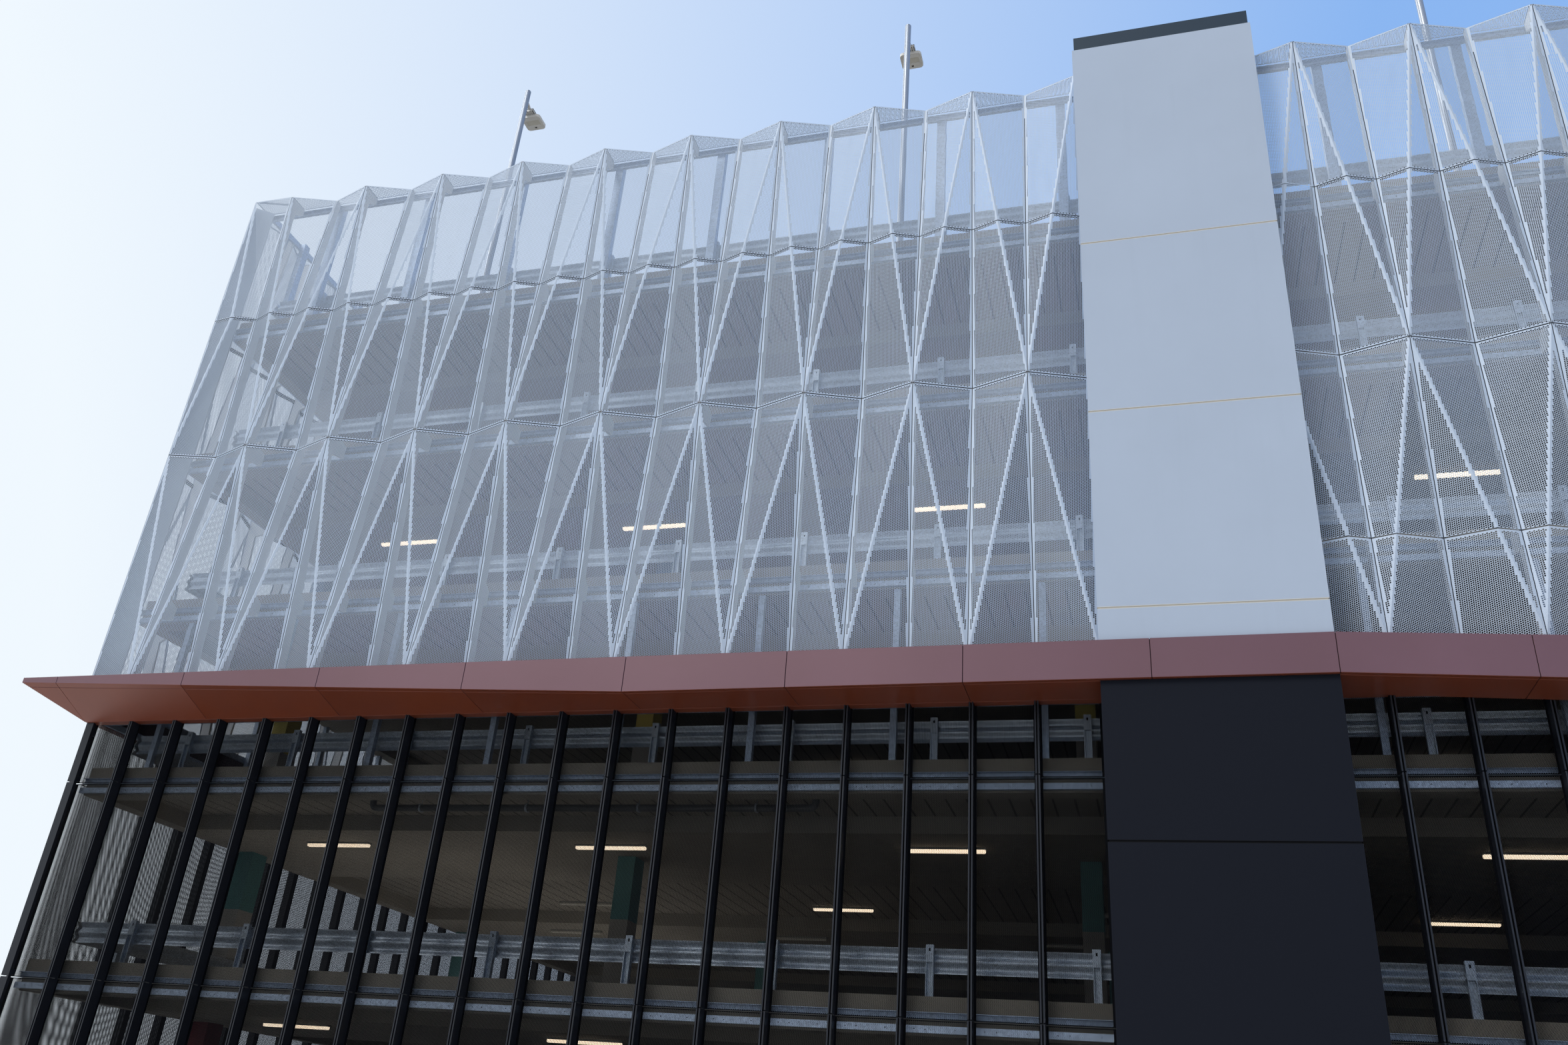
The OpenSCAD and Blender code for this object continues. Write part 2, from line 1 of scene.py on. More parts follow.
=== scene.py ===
# %% [markdown]
# # A multi storey car park
# The building has a dark finned podium, a rust red canopy, folded white screens full of small
# holes, and a rendered pier that rises through the front. Its structure is loaded first as a
# fixed frame in metres: the front faces -Y, +Z is up, and the origin is on the ground under the
# middle of the plan. Everything made here is set out from the same few measures as that frame.

# %% Load the frame
import math

import bpy
from mathutils import Matrix, Vector


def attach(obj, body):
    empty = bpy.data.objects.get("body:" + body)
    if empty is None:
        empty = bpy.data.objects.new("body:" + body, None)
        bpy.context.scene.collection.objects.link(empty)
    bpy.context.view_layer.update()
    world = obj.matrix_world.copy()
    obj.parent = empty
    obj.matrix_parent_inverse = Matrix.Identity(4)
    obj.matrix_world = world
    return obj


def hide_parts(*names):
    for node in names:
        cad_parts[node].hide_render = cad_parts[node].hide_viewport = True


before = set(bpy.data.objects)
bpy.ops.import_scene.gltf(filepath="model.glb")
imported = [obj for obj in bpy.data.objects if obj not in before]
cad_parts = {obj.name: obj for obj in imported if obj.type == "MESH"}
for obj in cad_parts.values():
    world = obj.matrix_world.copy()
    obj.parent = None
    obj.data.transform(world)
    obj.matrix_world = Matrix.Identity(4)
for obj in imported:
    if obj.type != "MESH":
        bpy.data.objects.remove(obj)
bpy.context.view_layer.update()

# %% [markdown]
# ## Measures
# A facade is a grid. Fins, screen joints and mullions all stand on the same spacing, called a
# bay here, and the horizontal joints repeat at each storey. With these few numbers and four
# small functions, every piece is placed by counting bays and storeys, as a setting-out drawing
# does. A wall's own frame has x along the wall, y into the building and z up.

# %% Measures of the facade grid
bay, storey = 0.865, 3.015
front_bays, side_bays = 41, 39
wall_end = 0.145
front_l = front_bays * bay + wall_end
side_l = side_bays * bay + wall_end
pier_bay, after_pier = 19, 22
pier_x = wall_end / 2 + pier_bay * bay
pier_end = pier_x + 2.8
canopy_top, canopy_under = 7.741, 7.215
screen_foot = canopy_top + 0.02
girt_y = 0.174


def joint(k):
    """Height of joint line k."""
    return 3.2 + (k - 1) * storey


def deck_top(k):
    """Height of deck k's surface."""
    return joint(k) + 0.28


def grid(i):
    """Place of grid line i along a wall, from the wall's left corner."""
    return wall_end / 2 + i * bay


def wall_frame(x, y, quarters):
    """A wall's own frame, from its left corner and its quarter turns seen from above."""
    return Matrix.Translation((x, y, 0)) @ Matrix.Rotation(quarters * math.pi / 2, 4, "Z")


wall = {
    "front": wall_frame(-front_l / 2, -side_l / 2, 0),
    "left": wall_frame(-front_l / 2, side_l / 2, -1),
    "right": wall_frame(front_l / 2, -side_l / 2, 1),
}
wall["back"] = Matrix.Rotation(math.pi, 4, "Z") @ wall["front"]
print("front", round(front_l, 3), "m, side", round(side_l, 3), "m, screens to", joint(6))

# %% [markdown]
# ## Camera
# The photograph was taken from the street, close to the building and looking up, with the camera
# tipped a little to one side. A camera is fully given by its lens, its place and three angles, so
# its axes are worked out from those angles and written as the columns of one matrix.

# %% Camera
yaw, pitch, roll = -0.312182662, 0.475246207, 0.0821726678
ahead = Vector((math.sin(yaw) * math.cos(pitch), math.cos(yaw) * math.cos(pitch), math.sin(pitch)))
right = Vector((math.cos(yaw), -math.sin(yaw), 0))
up = right.cross(ahead)
across = math.cos(roll) * right + math.sin(roll) * up
upward = -math.sin(roll) * right + math.cos(roll) * up
turn = Matrix((across, upward, -ahead)).transposed().to_4x4()
camera_data = bpy.data.cameras.new("camera")
camera_data.lens, camera_data.sensor_width = 28.734, 36
camera_data.clip_start, camera_data.clip_end = 0.1, 600
camera = bpy.data.objects.new("camera", camera_data)
camera.matrix_world = Matrix.Translation((-0.6923, -32.9953, 1.4603)) @ turn
bpy.context.scene.collection.objects.link(camera)
bpy.context.scene.camera = camera
print("camera", tuple(round(v, 2) for v in camera.location), "lens", camera_data.lens, "mm")

# %% [markdown]
# ## Finishes
# A finish is a small tree of nodes, and two helpers save drawing its wires by hand. Wire stands
# for one output socket and turns Python's own operators into Math nodes, so a mask can be written
# as a formula. Finish holds a material and adds any other node from its type and settings.


# %% Helpers for finishes
def adds(operation):
    """A method that feeds a Math node from a wire and from what stands beside it."""
    return lambda self, *others: self.math(operation, self, *others)


class Wire:
    """One output socket of a finish. Its operators add Math nodes."""

    def __init__(self, finish, socket):
        self.finish, self.socket = finish, socket

    def math(self, operation, *values):
        sockets = dict(enumerate(values))
        return self.finish.node("Math", {"operation": operation}, sockets)

    __add__ = __radd__ = adds("ADD")
    __mul__ = __rmul__ = adds("MULTIPLY")
    __sub__, __truediv__, __mod__ = adds("SUBTRACT"), adds("DIVIDE"), adds("FLOORED_MODULO")
    __lt__, __gt__, most = adds("LESS_THAN"), adds("GREATER_THAN"), adds("MAXIMUM")
    __abs__, __round__ = adds("ABSOLUTE"), adds("ROUND")

    def __rsub__(self, other):
        return self.math("SUBTRACT", other, self)

    def from_nearest(self, step):
        """How far this is from the nearest multiple of step."""
        return abs(self - round(self / step) * step)

    def between(self, low, high):
        """0 below low, 1 above high, straight between."""
        return self.finish.node(
            "MapRange", {"clamp": True}, {0: self, 1: low, 2: high, 3: 0.0, 4: 1.0}
        )


class Finish:
    """A material, or a world, whose nodes are added from Python."""

    def __init__(self, name, owner=None):
        self.material = owner or bpy.data.materials.new(name)
        self.material.use_nodes = True
        self.tree = self.material.node_tree
        self.tree.nodes.clear()

    def node(self, kind, settings=None, sockets=None, out=0):
        made = self.tree.nodes.new("ShaderNode" + kind)
        for key, value in (settings or {}).items():
            setattr(made, key, value)
        for key, value in (sockets or {}).items():
            if isinstance(value, Wire):
                self.tree.links.new(value.socket, made.inputs[key])
            else:
                made.inputs[key].default_value = value
        return Wire(self, made.outputs[out]) if made.outputs else None

    def place(self, scale=(1, 1, 1)):
        """The point on the object, in metres, stretched by scale."""
        at = self.node("TexCoord", out="Object")
        return self.node("VectorMath", {"operation": "MULTIPLY"}, {0: at, 1: scale})

    def parts(self, vector):
        """The three numbers of a vector."""
        return [self.node("SeparateXYZ", sockets={0: vector}, out=i) for i in range(3)]

    def facing(self):
        """The three numbers of the surface's normal."""
        return self.parts(self.node("NewGeometry", out="Normal"))

    def along(self):
        """Distance along a wall, whichever way the wall runs."""
        x, y, _ = self.parts(self.place())
        turned = abs(self.facing()[0]) > 0.7
        return (x + front_l / 2 - grid(0)) * (1 - turned) + (y + side_l / 2 - grid(0)) * turned

    def noise(self, scale, stretch=(1, 1, 1), detail=3.0, rough=0.55):
        sockets = {"Vector": self.place(stretch), "Scale": scale, "Detail": detail}
        return self.node("TexNoise", sockets={**sockets, "Roughness": rough})

    def mix(self, factor, a, b):
        """Colour a where factor is 0, colour b where it is 1."""
        a, b = (c if isinstance(c, Wire) else (*c, 1) for c in (a, b))
        return self.node("Mix", {"data_type": "RGBA"}, {0: factor, 6: a, 7: b}, out=2)

    def bump(self, height, distance, strength=1.0):
        sockets = {"Height": height, "Distance": distance, "Strength": strength}
        return self.node("Bump", sockets=sockets)

    def done(self, **sockets):
        """Ends the tree in one surface shader. A key names a socket, with _ for a space."""
        sockets = {k.replace("_", " "): v for k, v in sockets.items()}
        for key, value in sockets.items():
            if isinstance(value, tuple):
                sockets[key] = (*value, 1)
        surface = self.node("BsdfPrincipled", sockets=sockets)
        self.node("OutputMaterial", sockets={"Surface": surface})
        return self.material


def times(colour, factor):
    """A colour made lighter or darker."""
    return tuple(min(1.0, c * factor) for c in colour)


print("helpers ready:", Wire.__name__, Finish.__name__)

# %% [markdown]
# ### Cast concrete
# Decks, beams and columns are plain grey concrete. Its colour drifts over metres, small air holes
# pit it, and the undersides of the slabs show the ribs of the steel sheet they were cast on. The
# ribs are a bump and a dark line of painted shade in each groove. They are wanted only on a slab's
# underside, not under the wide beams, and both the normal and the height in the storey tell which
# is which. The columns are painted above breast height, in another colour on each storey.


# %% Concrete finishes
paint_foot = 1.5


def concrete(name, colour, ribs=0.0, paint=()):
    """Cast concrete. Ribs is the ribs' spacing under slabs. Paint is one colour for each storey."""
    f = Finish(name)
    drift = f.noise(0.35, detail=5)
    grain = f.noise(38, detail=4, rough=0.7)
    pits = f.node("TexVoronoi", sockets={"Vector": f.place(), "Scale": 11.0}).between(0.05, 0.12)
    x, y, z = f.parts(f.place())
    shade = f.mix(drift.between(0.3, 0.75), times(colour, 0.72), colour)
    height = grain * 0.25 + pits * 0.5
    if ribs:
        down = f.facing()[2] < -0.5
        slab = ((z - deck_top(1) + 0.2) / storey).from_nearest(1) < 0.02
        # painted shade: a dark line along each rib groove on a slab's underside
        line = (x.from_nearest(ribs) < 0.016) * down * slab
        board = (y.from_nearest(1.2) < 0.006) * down * (1 - slab)
        shade = f.mix(line * 0.85 + board * 0.3, shade, times(colour, 0.25))
        height = height - line * 2.0
    stain = f.noise(3, (1, 1, 0.15), 4).between(0.55, 0.8)
    shade = f.mix(stain * 0.5, shade, times(colour, 0.72))
    rough = 0.78 + grain * 0.18
    for k, tone in enumerate(paint):
        band = (z > deck_top(k) + paint_foot) * (z < deck_top(k + 1))
        shade = f.mix(band, shade, tone)
        rough = rough - band * 0.3
    return f.done(Base_Color=shade, Roughness=rough, Normal=f.bump(height, 0.004))


deck_concrete = concrete("deck_concrete", (0.32, 0.295, 0.25), ribs=0.3)
floor_concrete = concrete("floor_concrete", (0.26, 0.255, 0.24))
column_paint = [
    (0.16, 0.02, 0.03), (0.07, 0.2, 0.2), (0.5, 0.4, 0.09), (0.1, 0.17, 0.3), (0.13, 0.22, 0.09),
]
column_concrete = concrete("column_concrete", (0.36, 0.35, 0.325), paint=column_paint)
print("concrete finishes:", deck_concrete.name, floor_concrete.name, column_concrete.name)

# %% [markdown]
# ### Rendered pier
# The pier has large flat panels with a fine sanded coat, white above the canopy and near black
# below it. Beige sealant fills the white part's joints. It is chosen by height alone, because the
# joints are level. Faint runs and a slow drift of tone keep so large a face from looking empty.


# %% Render finishes
pier_joint, seal_half, seal_top = 2.178, 0.016, 16.0


def coat(name, colour, seal, gloss, shine):
    """A sanded render coat, with a sealant colour in its level joints."""
    f = Finish(name)
    z = f.parts(f.place())[2]
    drift = f.noise(0.5, detail=4).between(0.3, 0.75)
    sand = f.noise(160, detail=3, rough=0.7)
    runs = f.noise(5, (1, 1, 0.06), 4).between(0.55, 0.85)
    panel = ((z - pier_joint) / storey) % 1.0
    shade = f.mix(drift * 0.6 + runs * panel * 0.4, colour, times(colour, 0.9))
    sealed = ((z - pier_joint).from_nearest(storey) < seal_half) * (z < seal_top)
    shade = f.mix(sealed, shade, seal)
    lump = f.noise(1.2, detail=2)
    return f.done(
        Base_Color=shade,
        Roughness=gloss + sand * 0.2,
        Specular_IOR_Level=shine,
        Normal=f.bump(sand * 0.5 + lump * 1.5, 0.0016),
    )


white_coat = coat("white_coat", (0.42, 0.495, 0.615), (0.62, 0.6, 0.55), 0.62, 0.35)
dark_coat = coat("dark_coat", (0.0045, 0.006, 0.0115), (0.002, 0.002, 0.003), 0.55, 0.14)
print("render finishes:", white_coat.name, dark_coat.name)

# %% [markdown]
# ### Metal
# Girts, rails and posts are galvanised steel, a blue grey patchwork of zinc crystals. Voronoi
# cells give each crystal its own tone and roughness, so the patches catch the light one by one.
# Bolts near the girts' joints are dark dots at fixed places along the wall. Painted metal is
# simpler: one colour with slight orange peel, dust on ledges, and paler runs.


# %% Metal finishes
bolt_row, bolt_places, bolt_r = 0.107, (0.16, 0.3, -0.2), 0.007


def galvanised(name, colour, cell, bolts=False, metal=0.55):
    """Zinc coated steel, with crystals of the size of cell."""
    f = Finish(name)
    cells = f.node("TexVoronoi", sockets={"Vector": f.place(), "Scale": 1 / cell}, out="Color")
    tone = f.parts(cells)[0]
    drift = f.noise(1.7, detail=4).between(0.35, 0.75)
    shade = f.mix(tone, times(colour, 0.82), times(colour, 1.3))
    shade = f.mix(drift * 0.35, shade, times(colour, 0.6))
    if bolts:
        z = f.parts(f.place())[2]
        level = (z - joint(1) + bolt_row).from_nearest(storey)
        for at in bolt_places:
            side = (f.along() - at).from_nearest(bay)
            shade = f.mix(side * side + level * level < bolt_r**2, shade, (0.01, 0.01, 0.012))
    return f.done(
        Base_Color=shade,
        Metallic=metal,
        Roughness=0.38 + tone * 0.16 + drift * 0.12,
        Normal=f.bump(tone, 0.0006, 0.5),
    )


def painted(name, colour, rough=0.4, metal=0.0, dust=0.25, shine=0.5):
    """Powder coat or paint on metal."""
    f = Finish(name)
    grain = f.noise(240, detail=2)
    drift = f.noise(0.8, detail=5).between(0.35, 0.75)
    upward = f.facing()[2].between(0.3, 0.9)
    streak = f.noise(9, (1, 1, 0.05), 4).between(0.55, 0.85)
    shade = f.mix(drift * 0.35, colour, times(colour, 0.82))
    dusty = tuple(c * 0.7 + 0.16 for c in colour)
    shade = f.mix(upward * dust + streak * dust * 0.35, shade, dusty)
    return f.done(
        Base_Color=shade,
        Metallic=metal,
        Roughness=rough + streak * 0.12 + drift * 0.05,
        Specular_IOR_Level=shine,
        Normal=f.bump(grain, 0.0005, 0.6),
    )


zinc = galvanised("zinc", (0.42, 0.5, 0.62), 0.03, bolts=True)
zinc_rail = galvanised("zinc_rail", (0.5, 0.56, 0.63), 0.022, metal=0.85)
fin_black = painted("fin_black", (0.01, 0.012, 0.018), 0.34, dust=0.02, shine=0.35)
flashing = painted("flashing", (0.018, 0.034, 0.052), 0.42, dust=0.03, shine=0.3)
lamp_paint = painted("lamp_paint", (0.62, 0.61, 0.58), 0.42)
corner_paint = painted("corner_paint", (0.6, 0.68, 0.78), 0.45, dust=0.1)
pole_paint = painted("pole_paint", (0.34, 0.37, 0.42), 0.36, 0.4)
gasket = painted("gasket", (0.004, 0.004, 0.005), 0.7, dust=0.0, shine=0.1)
pipe_paint = painted("pipe_paint", (0.1, 0.105, 0.105), 0.45)
tray_paint = painted("tray_paint", (0.3, 0.3, 0.28), 0.45)
print("metal finishes:", zinc.name, fin_black.name, flashing.name)

# %% [markdown]
# ### Rust red cladding
# The canopy is folded from aluminium panels with a metallic rust coat. Its two tones are painted
# light: the front faces get a mauve painted sky reflection, the underside a deep brown red of
# painted shade, and the normal picks between the two tones. A slow drift along the wall sets one
# panel a little off the next.

# %% Cladding finish
f = Finish("rust_cladding")
patch = f.node(
    "TexNoise", sockets={"Vector": f.place((0.3, 0.3, 0.1)), "Scale": 1.0, "Detail": 1.0}
)
soft = f.noise(0.9, detail=4).between(0.3, 0.8)
# 1 on the faces that look down, which get the painted shade tone
faces_down_painted_shade = 1 - f.facing()[2].between(-0.5, -0.15)
# painted sky reflection: the mauve tone of the faces that don't look down
front = f.mix(patch.between(0.35, 0.65), (0.15, 0.07, 0.088), (0.175, 0.085, 0.105))
# painted shade: the deep brown red of the faces that look down
under = f.mix(patch.between(0.35, 0.65), (0.2, 0.044, 0.0175), (0.225, 0.052, 0.0215))
rust = f.mix(faces_down_painted_shade, front, under)
rust = f.mix(soft * 0.25, rust, (0.1, 0.04, 0.038))
flake = f.noise(700, detail=1)
rust_cladding = f.done(
    Base_Color=rust,
    Metallic=0.2,
    Roughness=0.34 + soft * 0.08,
    Coat_Weight=0.15,
    Coat_Roughness=0.25,
    Normal=f.bump(f.noise(1.6, detail=2) * 2.0 + flake * 0.1, 0.0008),
)
print("cladding finish:", rust_cladding.name)

# %% [markdown]
# ### Punched sheet
# The screens have round holes in upright columns, each column half a step off the next. They
# would be millions of faces, so the Alpha socket cuts them. Each point of the sheet finds the
# centre of its nearest hole, and every test is made on that centre, so a hole is whole or absent,
# and the margins along folds and joints step as in real punched sheet. The columns lean a little
# from the joints. The UV map holds metres, measured from the vertex where a sheet's folds meet.


# %% Punched sheet finishes
hole_pitch, hole_size = 0.027, 0.0215
side_margin, end_margin, fold_margin = 0.036, 0.019, 0.029


def holes_in(f, u, v, pitch, hole, lean):
    """A mask of round holes, and the place of the nearest hole's centre."""
    column = pitch * 0.866
    leant = u + v * lean
    col = round(leant / column)
    shift = (col % 2.0) * 0.5
    row = round(v / pitch - shift)
    cu, cv = col * column, (row + shift) * pitch
    du, dv = leant - cu, v - cv
    return (du * du + dv * dv) < hole * hole / 4, cu - cv * lean, cv


def punched(name, colour, height, fold, gap_at=None, lean=0.033):
    """A sheet of one bay, with holes. Fold is the run and rise of its fold, in metres."""
    f = Finish(name)
    u, v, _ = f.parts(f.node("TexCoord", out="UV"))
    keep, cu, cv = holes_in(f, u, v, hole_pitch, hole_size, lean)
    keep = keep * (cu > side_margin) * (cu < bay - side_margin)
    keep = keep * (cv > end_margin) * (cv < height - end_margin)
    run, rise = fold
    length = math.hypot(run, rise)
    keep = keep * (abs(cu * (rise / length) - cv * (run / length)) > fold_margin)
    if gap_at:
        keep = keep * (abs(cv - gap_at) > fold_margin)
    drift = f.noise(0.4, detail=4).between(0.3, 0.75)
    streak = f.noise(7, (1, 1, 0.05), 4).between(0.5, 0.85)
    shade = f.mix(drift * 0.4 + streak * 0.3, colour, times(colour, 0.88))
    return f.done(
        Base_Color=shade,
        Roughness=0.45 + streak * 0.14,
        Alpha=1 - keep,
        Normal=f.bump(f.noise(1.4, detail=1), 0.002),
    )


sheet_white = (0.49, 0.58, 0.71)
low_rise = joint(4) - screen_foot
low_sheet = punched("low_sheet", sheet_white, low_rise, (bay, low_rise))
cut_sheet = punched("cut_sheet", sheet_white, low_rise, (bay, low_rise), joint(4) - joint(3))
peak_sheet = punched("peak_sheet", sheet_white, storey, (bay / 2, storey), lean=-0.033)
lid_sheet = punched("lid_sheet", sheet_white, 0.404, (bay, 0.282), lean=0.0)
print("punched sheets:", low_sheet.name, cut_sheet.name, peak_sheet.name, lid_sheet.name)

# %% [markdown]
# ### Dark mesh of the podium
# Behind the fins is a black sheet with very small holes, which reads as smoked glass. It has no
# fold, so its holes are counted along the wall and up it. It is solid behind each fin and beside
# each level joint.

# %% Podium mesh finish
mesh_pitch, mesh_hole = 0.014, 0.0113
behind_fin, beside_joint = 0.056, 0.02
f = Finish("podium_mesh")
z = f.parts(f.place())[2]
hole, across_at, up_at = holes_in(f, f.along(), z - joint(1), mesh_pitch, mesh_hole, 0.0)
open_here = hole * (across_at.from_nearest(bay) > behind_fin)
open_here = open_here * (up_at.from_nearest(storey) > beside_joint)
haze = f.noise(1.1, detail=4).between(0.35, 0.8)
podium_mesh = f.done(
    Base_Color=f.mix(haze, (0.002, 0.0023, 0.0035), (0.0034, 0.004, 0.006)),
    Roughness=0.5 + haze * 0.2,
    Specular_IOR_Level=0.04,
    Alpha=1 - open_here,
)
print("podium mesh:", podium_mesh.name)

# %% [markdown]
# ### Mullions and lights
# A mullion is a pale plate on edge behind each joint of the screens. A black gasket closes the
# joint in front of it, so the faces that look outwards are black and the sides are pale. The
# lights have opal covers, warm white where they are lit and a dull cream where they are off.

# %% Mullion and light finishes
f = Finish("mullion_paint")
nx, ny = f.facing()[:2]
ox, oy = f.parts(f.place())[:2]
gasket_d = 0.02
front_face = ((ny * (oy / abs(oy))) > 0.5) * (abs(oy) > side_l / 2 - gasket_d)
end_face = ((nx * (ox / abs(ox))) > 0.5) * (abs(ox) > front_l / 2 - gasket_d)
drift = f.noise(0.9, detail=4).between(0.3, 0.75)
shade = f.mix(drift * 0.4, (0.82, 0.85, 0.87), (0.72, 0.75, 0.78))
mullion_paint = f.done(
    Base_Color=f.mix(front_face.most(end_face), shade, (0.01, 0.01, 0.012)),
    Roughness=0.4 + drift * 0.1,
    Normal=f.bump(f.noise(200, detail=2), 0.0004, 0.5),
)


def opal(name, glow):
    """The cover of a strip light, lit or not."""
    f = Finish(name)
    mottle = f.noise(2.0, detail=2).between(0.2, 0.8)
    return f.done(
        Base_Color=f.mix(mottle, (0.5, 0.48, 0.42), (0.56, 0.54, 0.48)),
        Roughness=0.35 + mottle * 0.05,
        Emission_Color=f.mix(mottle, (1.0, 0.78, 0.55), (1.0, 0.84, 0.64)),
        Emission_Strength=glow,
    )


opal_lit, opal_off = opal("opal_lit", 1.7), opal("opal_off", 0.0)
print("finishes:", mullion_paint.name, opal_lit.name, opal_off.name)

# %% [markdown]
# ## Dressing the frame
# The frame's own nodes are already the right shape for much of the building. Their solids are not
# touched: each one only gets a finish in its material slots.

# %% Dress the frame's nodes
dress = {
    floor_concrete: ["ground_slab"],
    deck_concrete: ["deck_1", "deck_2", "deck_3", "deck_4", "roof_deck"],
    column_concrete: ["columns_lower", "columns_upper"],
    fin_black: ["fins_front", "fins_back", "fins_ends"],
    podium_mesh: ["mesh_front", "mesh_back", "mesh_ends"],
    zinc: ["girts_front", "girts_back", "girts_ends", "canopy_rails", "canopy_posts", "roof_posts"],
    mullion_paint: ["mullions_front", "mullions_back", "mullions_ends"],
    corner_paint: ["screen_corners"],
    dark_coat: ["pier_dark"],
    white_coat: ["pier_white"],
    flashing: ["pier_cap"],
}
for material, names in dress.items():
    for name in names:
        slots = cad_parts[name].data.materials
        slots.clear()
        slots.append(material)
print("dressed:", sum(len(names) for names in dress.values()), "nodes")

# %% [markdown]
# ## Modelling helpers
# Blender's mesh operators act on what is selected in the active object. These helpers make that
# exact: alone() selects only the given pieces, pick() goes into edit mode with just the vertices,
# edges or faces that pass a test on their place, and shift() moves such vertices.


# %% Modelling helpers
def alone(*pieces):
    """Selects only these pieces, with the last one active."""
    bpy.ops.object.select_all(action="DESELECT")
    for piece in pieces:
        piece.select_set(True)
    bpy.context.view_layer.objects.active = pieces[-1]
    return pieces[-1]


def pick(piece, kind, test):
    """Goes into edit mode on piece, with what passes test selected. Test gets a place."""
    alone(piece)
    bpy.ops.object.mode_set(mode="EDIT")
    bpy.ops.mesh.select_mode(type=kind)
    bpy.ops.mesh.select_all(action="DESELECT")
    bpy.ops.object.mode_set(mode="OBJECT")
    mesh = piece.data
    if kind == "VERT":
        for v in mesh.vertices:
            v.select = test(v.co)
    elif kind == "EDGE":
        for e in mesh.edges:
            e.select = test((mesh.vertices[e.vertices[0]].co + mesh.vertices[e.vertices[1]].co) / 2)
    else:
        for p in mesh.polygons:
            p.select = test(p.center)
    bpy.ops.object.mode_set(mode="EDIT")


def leave():
    bpy.ops.object.mode_set(mode="OBJECT")


def shift(piece, test, move):
    """Moves the vertices that pass test."""
    pick(piece, "VERT", test)
    bpy.ops.transform.translate(value=move)
    leave()


def near(a, b, gap=1e-4):
    return abs(a - b) < gap


discard = bpy.data.objects.remove


def settle(piece):
    """Moves a piece's place, turn and size into its mesh."""
    alone(piece)
    bpy.ops.object.transform_apply(location=True, rotation=True, scale=True)
    return piece


def fresh(primitive, **settings):
    """Adds a primitive, with nothing else selected."""
    bpy.ops.object.select_all(action="DESELECT")
    primitive(**settings)
    return bpy.context.object


def sized(piece, size):
    """Stretches a new primitive to its size, in its mesh."""
    piece.scale = size
    return settle(piece)


def apply(piece, kind, **settings):
    """Adds a modifier with these settings and applies it."""
    alone(piece)
    modifier = piece.modifiers.new(kind.lower(), kind)
    for key, value in settings.items():
        setattr(modifier, key, value)
    bpy.ops.object.modifier_apply(modifier=modifier.name)
    return piece


def round_edges(piece, width, segments=1, over=40):
    """Rounds the edges that are sharper than over degrees."""
    return apply(piece, "BEVEL", width=width, segments=segments, limit_method="ANGLE",
                 angle_limit=math.radians(over))


def thicken(piece, thickness):
    """Gives a sheet its thickness, behind its face."""
    return apply(piece, "SOLIDIFY", thickness=thickness, offset=-1)


def smooth(piece, degrees):
    """Shades a piece smooth, but for edges sharper than this."""
    alone(piece)
    bpy.ops.object.shade_smooth_by_angle(angle=math.radians(degrees))
    return piece


def copy(piece, move=(0, 0, 0)):
    """A copy of piece with its own mesh, moved."""
    alone(piece)
    bpy.ops.object.duplicate(linked=False)
    made = bpy.context.object
    made.location = move
    return settle(made)


def join(pieces, name):
    """Joins pieces into one, and names it."""
    made = alone(*pieces)
    if len(pieces) > 1:
        bpy.ops.object.join()
    made.name = made.data.name = name
    return made


def on_wall(piece, side):
    """Carries a piece from a wall's own frame to its wall."""
    piece.matrix_world = wall[side]
    return settle(piece)


def finish_piece(piece, slot, *nodes):
    """Puts a piece on the building, in place of the nodes that it stands for. Slot is not used."""
    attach(piece, "root")
    if nodes:
        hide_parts(*nodes)
    print(piece.name, len(piece.data.polygons), "faces")
    return piece


def box(low, high, *materials):
    """A box between two corners, as a primitive that is then shaped."""
    low, high = Vector(low), Vector(high)
    cube = fresh(bpy.ops.mesh.primitive_cube_add, size=1, location=(low + high) / 2)
    made = sized(cube, high - low)
    for material in materials:
        made.data.materials.append(material)
    return made


def bisect(piece, at, square, inner=False, outer=False):
    """Cuts a piece by the plane at a point and square to a way, and clears a side if asked."""
    pick(piece, "FACE", lambda c: True)
    bpy.ops.mesh.bisect(plane_co=at, plane_no=square, clear_inner=inner, clear_outer=outer)
    leave()


def cut(piece, axis, *places):
    """Cuts new edges round a piece, square to an axis."""
    square = [(1, 0, 0), (0, 1, 0), (0, 0, 1)]["xyz".index(axis)]
    for at in places:
        bisect(piece, [at * s for s in square], square)
    return piece


def sink(piece, test, move, material=None, inset=0.0):
    """Insets the faces that pass test, extrudes them by move, and gives them a material slot."""
    pick(piece, "FACE", test)
    if inset:
        bpy.ops.mesh.inset(thickness=inset, depth=0, use_even_offset=True)
    bpy.ops.mesh.extrude_region_move(TRANSFORM_OT_translate={"value": move})
    if material is not None:
        piece.active_material_index = material
        bpy.ops.object.material_slot_assign()
    leave()
    return piece


print("modelling helpers ready")

# %% [markdown]
# ## Folded screens
# Each bay of the screens is one sheet, folded like paper: its corners stand out from the wall by
# different amounts, so it breaks along a line from its outermost vertex. A sheet starts as a
# plane. An edge is subdivided where it has a vertex in its middle, two vertices are joined to
# make the fold, and the corners are pulled out. Two neighbouring bays make a pair, and an Array
# repeats it along the wall. The top row also has a level sheet behind its edge.

